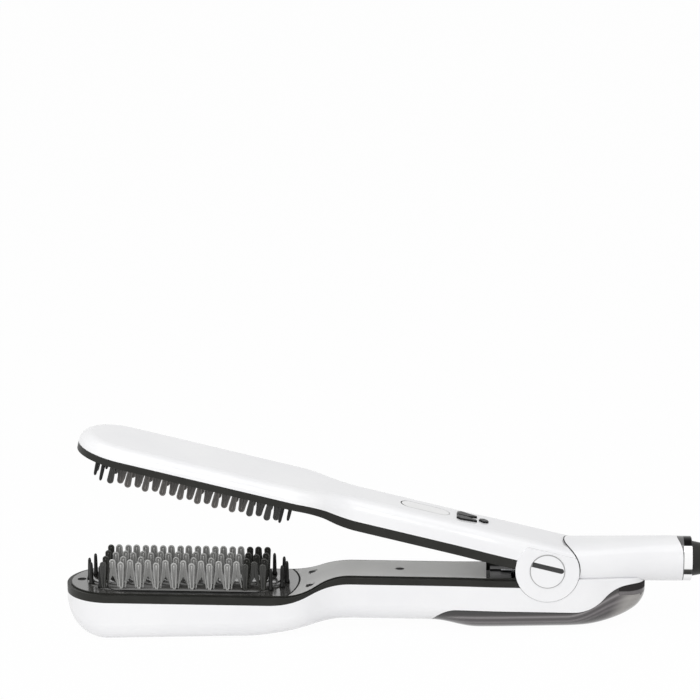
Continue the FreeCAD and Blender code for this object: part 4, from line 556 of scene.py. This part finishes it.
def closed_body(shape, rings):
    """A body whose skin runs from ring to ring of vertices and is closed at both ends. Gives its
    faces; the last two are the end faces at the first and at the last ring."""
    faces = []
    for first, second in zip(rings, rings[1:]):
        for step in range(len(first)):
            after = (step + 1) % len(first)
            faces.append(shape.faces.new((first[step], first[after],
                                          second[after], second[step])))
    faces.append(shape.faces.new(reversed(rings[0])))
    faces.append(shape.faces.new(rings[-1]))
    return faces


def rod(shape, path, radii, sides=8):
    """A closed rod along a path, with a radius at each point. Gives its vertices."""
    rings = []
    side = Vector((0, 1, 0))
    for index, (point, radius) in enumerate(zip(path, radii)):
        ahead = path[min(index + 1, len(path) - 1)] - path[max(index - 1, 0)]
        across = side.cross(ahead.normalized()).normalized()
        ring = []
        for step in range(sides):
            turn = 2 * math.pi * step / sides
            offset = side * math.cos(turn) + across * math.sin(turn)
            ring.append(shape.verts.new(point + offset * radius))
        rings.append(ring)
    closed_body(shape, rings)
    return [vert for ring in rings for vert in ring]


def finished_mesh(name, shape, flat=()):
    """A plain mesh with its faces outwards, shaded smooth apart from the flat ones."""
    bmesh.ops.recalc_face_normals(shape, faces=shape.faces)
    flat = set(flat)
    for face in shape.faces:
        face.smooth = face not in flat
    mesh = bpy.data.meshes.new(name)
    shape.to_mesh(mesh)
    shape.free()
    return mesh


# --- Heating teeth and guard bristles -----------------------------------------------------------

# Rows of slim teeth and, staggered between them, of spread ones: first row, row pitch, rows
SLIM_ROWS = {"lower": (-14.4 * MM, 9.6 * MM, 4), "upper": (-8.8 * MM, 17.6 * MM, 2)}
SPREAD_ROWS = {"lower": (-12.4 * MM, 12.4 * MM, 3), "upper": (-2.5 * MM, 5.0 * MM, 2)}
TOOTH_COUNT = {"lower": (10, 9), "upper": (10, 10)}
TOOTH_PITCH = 9.0 * MM
FIRST_TOOTH = -224.0 * MM
DARK_BEFORE = -221.0 * MM
DARK_AFTER = -154.3 * MM

# Height above the paddle; a tooth starts at the floor of the pad
TOOTH_HEIGHT = {"lower": 14.2 * MM, "upper": 12.4 * MM}
SPREAD_EXTRA = 0.8 * MM
PAD_DEPTH = 0.4 * MM

# Half width of a tooth at its foot, and the share of it that stays open between the legs
SLIM_FOOT = 0.4 * MM
SLIM_OPEN = 0.12
SPREAD_FOOT = 2.75 * MM
SPREAD_OPEN = 0.5

# Ring at the tip, and the bends of a leg: its spread and its share of the height
TIP_HALF = 1.3 * MM
TIP_STEPS = 8
WIRE = 0.42 * MM
FOOT_BEND = (0.92, 0.09)
KNEE_SPREAD = 0.5
NECK_BEND = (0.1, 0.8)

# Ridge with a ball: radii from the knee to the ball's top, and places below the ring's centre
RIDGE_RADII = (0.22 * MM, 0.26 * MM, 0.34 * MM, 0.5 * MM, 0.16 * MM)
RIDGE_MIDDLE = 0.75
BALL_DROP = 0.1 * MM
BALL_NECK = 0.5 * MM
BALL_RISE = 0.45 * MM
BALL_REACH = 0.6 * MM
WEB_HALF_THICKNESS = 0.16 * MM

# Painted light and shade on a tooth: along the wire at the foot, waist and tip, and on ball, ridge
# and web
WIRE_SHADES = (1.0, 0.45, 0.85)
WAIST = 0.6
BALL_SHADE = 1.0
RIDGE_SHADE = 0.35
WEB_SHADE = 0.3

# Bristles stand on an arc at each end: the arc's radius and centres follow the comb's collar
BRISTLE_COUNT = {"lower": 5, "upper": 4}
BRISTLE_STEP = math.radians(30)
BRISTLE_SHIFT = 1.5 * MM
COMB_HALF = 15.6 * MM
COMB_LIP = 1.8 * MM
COMB_LIP_HEIGHT = 0.8 * MM
COMB_NOSE = -234.0 * MM
COMB_TAIL = -132.5 * MM
# Height and radius of a bristle, in millimetres, from its flared foot to its rounded tip
BRISTLE_PROFILE = (
    (-0.9, 1.5), (0.2, 1.4), (1.2, 1.05), (6.0, 0.95), (9.4, 0.82), (10.3, 0.6), (10.68, 0.2),
)


def wire_shade(share):
    """The painted light along a tooth's wire: bright at the foot, dim at the waist, bright again
    at the tip.
    """
    foot, waist, tip = WIRE_SHADES
    if share < WAIST:
        return foot + (waist - foot) * share / WAIST
    return waist + (tip - waist) * (share - WAIST) / (1 - WAIST)


def tooth_mesh(name, foot_half, open_share, height):
    """A hairpin blade: two legs and a ring at the tip, a thin web down to an open foot, a ridge
    with a small ball. The value "shade" holds painted light and shade, from the dark web to the
    painted highlights on the ring and feet."""
    shape = bmesh.new()
    shade = shape.verts.layers.float.new("shade")
    arc_centre = height - TIP_HALF - WIRE
    knee = arc_centre * open_share

    def leg_place(spread, level):
        """A place on a leg, whose spread goes from 0 at the ring to 1 at the foot."""
        return Vector((-foot_half * spread - TIP_HALF * (1 - spread), 0, level))

    leg = [leg_place(1, 0), leg_place(FOOT_BEND[0], FOOT_BEND[1] * height),
           leg_place(KNEE_SPREAD, knee), leg_place(NECK_BEND[0], NECK_BEND[1] * arc_centre)]
    arc = [
        Vector((-TIP_HALF * math.cos(turn), 0, arc_centre + TIP_HALF * math.sin(turn)))
        for turn in (math.pi * step / TIP_STEPS for step in range(TIP_STEPS + 1))
    ]
    path = leg + arc + [Vector((-point.x, 0, point.z)) for point in reversed(leg)]
    for vert in rod(shape, path, [WIRE] * len(path)):
        vert[shade] = wire_shade(vert.co.z / height)

    ball = arc_centre - BALL_DROP
    levels = (knee, ball * RIDGE_MIDDLE, ball - BALL_NECK, ball, ball + BALL_RISE)
    ridge = [Vector((0, 0, level)) for level in levels]
    for vert in rod(shape, ridge, RIDGE_RADII, sides=6):
        vert[shade] = BALL_SHADE if vert.co.z > ball - BALL_REACH else RIDGE_SHADE

    # the web comes down along both legs and is notched between them
    outline = [point for point in path if point.z > 0] + [Vector((0, 0, knee))]
    sheets = [
        [shape.verts.new((point.x, side, point.z)) for point in outline]
        for side in (-WEB_HALF_THICKNESS, WEB_HALF_THICKNESS)
    ]
    for vert in sheets[0] + sheets[1]:
        vert[shade] = WEB_SHADE
    return finished_mesh(name, shape, flat=closed_body(shape, sheets))


def bristle_mesh():
    """A guard pin: a flared foot, a slim taper and a rounded tip."""
    shape = bmesh.new()
    rod(shape, [Vector((0, 0, level * MM)) for level, _ in BRISTLE_PROFILE],
        [radius * MM for _, radius in BRISTLE_PROFILE], sides=12)
    return finished_mesh("bristle_pin", shape)


def geometry_tree(name, output, **inputs):
    """An empty geometry tree with its named inputs, and the sockets that bring them."""
    tree = bpy.data.node_groups.new(name, "GeometryNodeTree")
    for kind, labels in inputs.items():
        for label in labels:
            tree.interface.new_socket(label, in_out="INPUT", socket_type="NodeSocket" + kind)
    tree.interface.new_socket(output, in_out="OUTPUT", socket_type="NodeSocketGeometry")
    return tree, add(tree, "NodeGroupInput").outputs


def teeth_tree():
    """Rows of one tooth at an even pitch; teeth beyond the two ends take the darker finish."""
    tree, given = geometry_tree(
        "rows_of_teeth", "Teeth",
        Object=["Tooth"], Int=["Teeth in a row", "Rows"], Vector=["First tooth"],
        Float=["Tooth pitch", "Row pitch", "Dark before", "Dark after"],
        Material=["Finish", "Dark finish"])
    along = add(tree, "ShaderNodeCombineXYZ", links={"X": given["Tooth pitch"]})
    across = add(tree, "ShaderNodeCombineXYZ", links={"Y": given["Row pitch"]})
    tooth = add(tree, "GeometryNodeObjectInfo", links={"Object": given["Tooth"]})
    row = add(tree, "GeometryNodeMeshLine",
              links={"Count": given["Teeth in a row"], "Offset": along.outputs[0]})
    teeth = add(tree, "GeometryNodeInstanceOnPoints",
                links={"Points": row.outputs[0], "Instance": tooth.outputs["Geometry"]})
    rows = add(tree, "GeometryNodeMeshLine",
               links={"Count": given["Rows"], "Start Location": given["First tooth"],
                      "Offset": across.outputs[0]})
    block = add(tree, "GeometryNodeInstanceOnPoints",
                links={"Points": rows.outputs[0], "Instance": teeth.outputs[0]})
    real = add(tree, "GeometryNodeRealizeInstances", links={"Geometry": block.outputs[0]})
    pale = add(tree, "GeometryNodeSetMaterial",
               links={"Geometry": real.outputs[0], "Material": given["Finish"]})
    spot = split(tree, add(tree, "GeometryNodeInputPosition").outputs[0])
    before = add(tree, "FunctionNodeCompare", {"operation": "LESS_THAN"},
                 links={0: spot["X"], 1: given["Dark before"]})
    after = add(tree, "FunctionNodeCompare", {"operation": "GREATER_THAN"},
                links={0: spot["X"], 1: given["Dark after"]})
    ends = add(tree, "FunctionNodeBooleanMath", {"operation": "OR"},
               links={0: before.outputs[0], 1: after.outputs[0]})
    dark = add(tree, "GeometryNodeSetMaterial",
               links={"Geometry": pale.outputs[0], "Selection": ends.outputs[0],
                      "Material": given["Dark finish"]})
    add(tree, "NodeGroupOutput", links={"Teeth": dark.outputs[0]})
    return tree


def bristle_tree():
    """Bristles spaced along an arc."""
    tree, given = geometry_tree(
        "arc_of_bristles", "Bristles",
        Object=["Bristle"], Int=["Count"], Float=["Radius", "Start", "Sweep"],
        Vector=["Centre"], Material=["Finish"])
    bristle = add(tree, "GeometryNodeObjectInfo", links={"Object": given["Bristle"]})
    arc = add(tree, "GeometryNodeCurveArc",
              links={"Resolution": given["Count"], "Radius": given["Radius"],
                     "Start Angle": given["Start"], "Sweep Angle": given["Sweep"]})
    stood = add(tree, "GeometryNodeInstanceOnPoints",
                links={"Points": arc.outputs[0], "Instance": bristle.outputs["Geometry"]})
    moved = add(tree, "GeometryNodeTransform",
                links={"Geometry": stood.outputs[0], "Translation": given["Centre"]})
    real = add(tree, "GeometryNodeRealizeInstances", links={"Geometry": moved.outputs[0]})
    dressed = add(tree, "GeometryNodeSetMaterial",
                  links={"Geometry": real.outputs[0], "Material": given["Finish"]})
    add(tree, "NodeGroupOutput", links={"Bristles": dressed.outputs[0]})
    return tree


def grown(name, tree, inputs, placement):
    """What a tree makes from its named inputs, as a plain mesh laid in an arm's place."""
    host = bpy.data.objects.new(name + "_host", bpy.data.meshes.new(name + "_host"))
    bpy.context.scene.collection.objects.link(host)
    modifier = host.modifiers.new(tree.name, "NODES")
    modifier.node_group = tree
    sockets = {item.name: item.identifier for item in tree.interface.items_tree
               if item.in_out == "INPUT"}
    for label, value in inputs.items():
        modifier[sockets[label]] = value
    graph = bpy.context.evaluated_depsgraph_get()
    mesh = bpy.data.meshes.new_from_object(host.evaluated_get(graph), depsgraph=graph)
    host.modifiers.remove(modifier)
    bpy.data.objects.remove(host)
    mesh.name = name
    return laid(mesh, placement)


def pattern_object(name, mesh):
    """The single shape that a tree repeats; it isn't shown itself."""
    made = bpy.data.objects.new(name, mesh)
    bpy.context.scene.collection.objects.link(made)
    made.hide_render = True
    return made


def joined(name, meshes):
    """Several meshes as one, each with its own finish kept."""
    shape = bmesh.new()
    materials = []
    for mesh in meshes:
        start = len(shape.faces)
        shape.from_mesh(mesh)
        shape.faces.ensure_lookup_table()
        slots = list(mesh.materials)
        for material in slots:
            if material not in materials:
                materials.append(material)
        for face in shape.faces[start:]:
            face.material_index = materials.index(slots[face.material_index])
    made = bpy.data.meshes.new(name)
    shape.to_mesh(made)
    shape.free()
    for material in materials:
        made.materials.append(material)
    return made


def heating_teeth(arm, tree):
    """The staggered rows of slim and of spread teeth on an arm."""
    height = TOOTH_HEIGHT[arm] + PAD_DEPTH
    kinds = (
        (SLIM_ROWS, tooth_mesh("slim_tooth", SLIM_FOOT, SLIM_OPEN, height)),
        (SPREAD_ROWS, tooth_mesh("spread_tooth", SPREAD_FOOT, SPREAD_OPEN,
                                 height + SPREAD_EXTRA)),
    )
    meshes = []
    for staggered, (rows, mesh) in enumerate(kinds):
        first_row, row_pitch, row_count = rows[arm]
        tooth = pattern_object(mesh.name, mesh)
        meshes.append(grown(f"{arm}_teeth_{staggered}", tree, {
            "Tooth": tooth,
            "Teeth in a row": TOOTH_COUNT[arm][staggered],
            "Tooth pitch": TOOTH_PITCH,
            "Rows": row_count,
            "Row pitch": row_pitch,
            "First tooth": (FIRST_TOOTH + staggered * TOOTH_PITCH / 2, first_row, 0),
            "Dark before": DARK_BEFORE,
            "Dark after": DARK_AFTER,
            "Finish": TOOTH_FINISH[arm],
            "Dark finish": TOOTH_BLACK,
        }, on_paddle(arm, -PAD_DEPTH)))
        bpy.data.objects.remove(tooth)
    piece(f"{arm}_comb_teeth", joined(f"{arm}_comb_teeth", meshes), f"{arm}_arm",
          "ceramic_tooth_grey", f"{arm}_heating_teeth")


def guard_bristles(arm, tree, pin):
    """The arc of guard bristles at each end of an arm's comb."""
    sweep = (BRISTLE_COUNT[arm] - 1) * BRISTLE_STEP
    ends = ((COMB_NOSE + COMB_HALF, math.pi), (COMB_TAIL - COMB_HALF + BRISTLE_SHIFT, 0.0))
    bristles = [
        grown(f"{arm}_bristles_{index}", tree, {
            "Bristle": pin, "Count": BRISTLE_COUNT[arm], "Radius": COMB_HALF - COMB_LIP / 2,
            "Start": heading - sweep / 2, "Sweep": sweep,
            "Centre": (centre, 0, 0), "Finish": BRISTLE_NYLON,
        }, on_paddle(arm, COMB_LIP_HEIGHT))
        for index, (centre, heading) in enumerate(ends)
    ]
    piece(f"{arm}_bristle_pins", joined(f"{arm}_bristle_pins", bristles), f"{arm}_arm",
          "bristle_black", f"{arm}_guard_bristles")


# --- Bed of the comb --------------------------------------------------------------------------

FLANGE_HALF = 16.4 * MM
FLANGE_HEIGHT = 0.12 * MM
INSERT_NOSE = -228.0 * MM
INSERT_TAIL = -136.5 * MM
INSERT_HALF = 20.4 * MM
INSERT_BEAD = 0.9 * MM
INSERT_BEAD_HEIGHT = 0.3 * MM
INSERT_FLOOR = 0.1 * MM
# Places in the bed's list of materials, where the bead comes first
FLOOR_SLOT = 1
FLANGE_SLOT = 2


def stadium(shape, nose, tail, half, height, steps=24):
    """Ring of vertices round a slot-shaped outline from its nose end to its tail end."""
    ring = []
    for centre, start in ((tail - half, -math.pi / 2), (nose + half, math.pi / 2)):
        for step in range(steps + 1):
            turn = start + math.pi * step / steps
            ring.append(shape.verts.new((centre + half * math.cos(turn), half * math.sin(turn),
                                         height)))
    return ring


def comb_insert(arm):
    """The black bed of the teeth, a slot-shaped tray with a low rounded bead, on a grey flange
    that carries the guard bristles."""
    shape = bmesh.new()
    # share of the bead's width, and height
    profile = ((0.0, -PAD_DEPTH), (0.0, INSERT_BEAD_HEIGHT * 0.6), (0.25, INSERT_BEAD_HEIGHT),
               (0.75, INSERT_BEAD_HEIGHT), (1.0, INSERT_BEAD_HEIGHT * 0.5), (1.1, INSERT_FLOOR))
    bed = [
        stadium(shape, INSERT_NOSE + share * INSERT_BEAD, INSERT_TAIL - share * INSERT_BEAD,
                INSERT_HALF - share * INSERT_BEAD, height)
        for share, height in profile
    ]
    flange = [stadium(shape, COMB_NOSE, COMB_TAIL, FLANGE_HALF, height)
              for height in (-PAD_DEPTH, FLANGE_HEIGHT)]
    closed_body(shape, bed)[-1].material_index = FLOOR_SLOT
    for face in closed_body(shape, flange):
        face.material_index = FLANGE_SLOT
    mesh = finished_mesh(f"{arm}_comb_bed", shape)
    mesh.materials.append(COLLAR_BLACK)
    mesh.materials.append(BED_MATT)
    mesh.materials.append(COMB_LACQUER[arm])
    piece(f"{arm}_comb_bed", laid(mesh, on_paddle(arm, 0)), f"{arm}_arm", "black_insert",
          f"{arm}_comb_insert")


def dress_combs():
    rows_tree = teeth_tree()
    arc_tree = bristle_tree()
    pin = pattern_object("bristle_pin", bristle_mesh())
    for arm in ARMS:
        heating_teeth(arm, rows_tree)
        guard_bristles(arm, arc_tree, pin)
    bpy.data.objects.remove(pin)
    for arm in ARMS:
        comb_insert(arm)


dress_combs()


# --- Studio -----------------------------------------------------------------------------------

WHITE = (1, 1, 1, 1)
FLOOR_SIZE = 4.0
PAPER_PATCH = 250 * MM
PAPER_GLOW = 0.975
ROOM_LIGHT = 0.54
BRUSH_MIDDLE = (0, 0, 30 * MM)


def seen_directly(tree):
    """1 for what the camera sees, also in a mirror or through glass, and 0 for scattered light."""
    rays = add(tree, "ShaderNodeLightPath").outputs
    seen = calc(tree, "MAXIMUM", rays["Is Camera Ray"], rays["Is Glossy Ray"])
    return calc(tree, "MAXIMUM", seen, rays["Is Transmission Ray"])


def backdrop_material():
    """White paper: full white to the camera and to mirrors, with a soft share of the shadows."""
    material, tree, place = new_material("white_paper_floor")
    paper = blotches(tree, place, PAPER_PATCH, "#f6f6f6", "#f2f2f2")
    matt = add(tree, "ShaderNodeBsdfDiffuse", links={"Color": paper})
    glow = add(tree, "ShaderNodeEmission", values={"Color": WHITE, "Strength": 1.0})
    share = calc(tree, "MULTIPLY", seen_directly(tree), PAPER_GLOW)
    close(tree, add(tree, "ShaderNodeMixShader",
                    links={0: share, 1: matt.outputs[0], 2: glow.outputs[0]}))
    return material


def make_floor():
    shape = bmesh.new()
    bmesh.ops.create_grid(shape, x_segments=1, y_segments=1, size=FLOOR_SIZE)
    mesh = finished_mesh("studio_floor", shape, flat=shape.faces)
    mesh.materials.append(backdrop_material())
    floor = bpy.data.objects.new("studio_floor", mesh)
    bpy.context.scene.collection.objects.link(floor)


def make_world():
    """A white room: full white where it is seen, and a softer light where it falls."""
    world = bpy.data.worlds.new("white_studio")
    bpy.context.scene.world = world
    world.use_nodes = True
    tree = world.node_tree
    tree.nodes.clear()
    level = graded(tree, seen_directly(tree), 0.0, 1.0, ROOM_LIGHT, 1.0)
    sky = add(tree, "ShaderNodeBackground", values={"Color": WHITE}, links={"Strength": level})
    add(tree, "ShaderNodeOutputWorld", links={"Surface": sky.outputs[0]})


def soft_box(name, place, size, power):
    """A studio light with a width and a height, aimed at the middle of the brush."""
    light = bpy.data.lights.new(name, "AREA")
    light.shape = "RECTANGLE"
    light.size, light.size_y = size
    light.energy = power
    lamp = bpy.data.objects.new(name, light)
    bpy.context.scene.collection.objects.link(lamp)
    lamp.location = place
    aim = Vector(BRUSH_MIDDLE) - Vector(place)
    lamp.rotation_mode = "QUATERNION"
    lamp.rotation_quaternion = aim.to_track_quat("-Z", "Y")


VIEW_AZIMUTH = math.radians(3.0)
VIEW_ELEVATION = math.radians(13.2)
FRAME_PIXELS = 700
FOCAL_PIXELS = 2517
HUB_PIXEL = (547.5, 571.7)
HUB_FACE = (0, -16.5 * MM, 0)
METRES_PER_PIXEL = 0.5 * MM
SENSOR = 36.0
NEAREST = 0.05
FARTHEST = 20.0


def make_camera():
    """A long lens, level with the arm's own frame, that looks a little down onto the plates."""
    tilt = Matrix.Rotation(REST_PITCH, 3, "Y")
    back = tilt @ Vector((math.sin(VIEW_AZIMUTH) * math.cos(VIEW_ELEVATION),
                          -math.cos(VIEW_AZIMUTH) * math.cos(VIEW_ELEVATION),
                          math.sin(VIEW_ELEVATION)))
    right = tilt @ Vector((math.cos(VIEW_AZIMUTH), math.sin(VIEW_AZIMUTH), 0))
    up = back.cross(right)
    depth = FOCAL_PIXELS * METRES_PER_PIXEL
    middle = FRAME_PIXELS / 2
    aside = (HUB_PIXEL[0] - middle) / FOCAL_PIXELS
    above = (middle - HUB_PIXEL[1]) / FOCAL_PIXELS
    place = LOWER @ Vector(HUB_FACE) - depth * (aside * right + above * up - back)
    lens = bpy.data.cameras.new("camera")
    lens.sensor_width = SENSOR
    lens.lens = FOCAL_PIXELS / FRAME_PIXELS * SENSOR
    lens.clip_start = NEAREST
    lens.clip_end = FARTHEST
    camera = bpy.data.objects.new("camera", lens)
    bpy.context.scene.collection.objects.link(camera)
    turn = Matrix((right, up, back)).transposed()
    camera.matrix_world = Matrix.Translation(place) @ turn.to_4x4()
    bpy.context.scene.camera = camera


make_floor()
make_world()
soft_box("overhead_box", place=(-0.1, -0.25, 1.0), size=(1.2, 0.7), power=2.5)
soft_box("front_fill", place=(-0.3, -1.1, 0.55), size=(1.0, 0.5), power=5.6)
make_camera()
bpy.context.scene.view_settings.view_transform = "Standard"
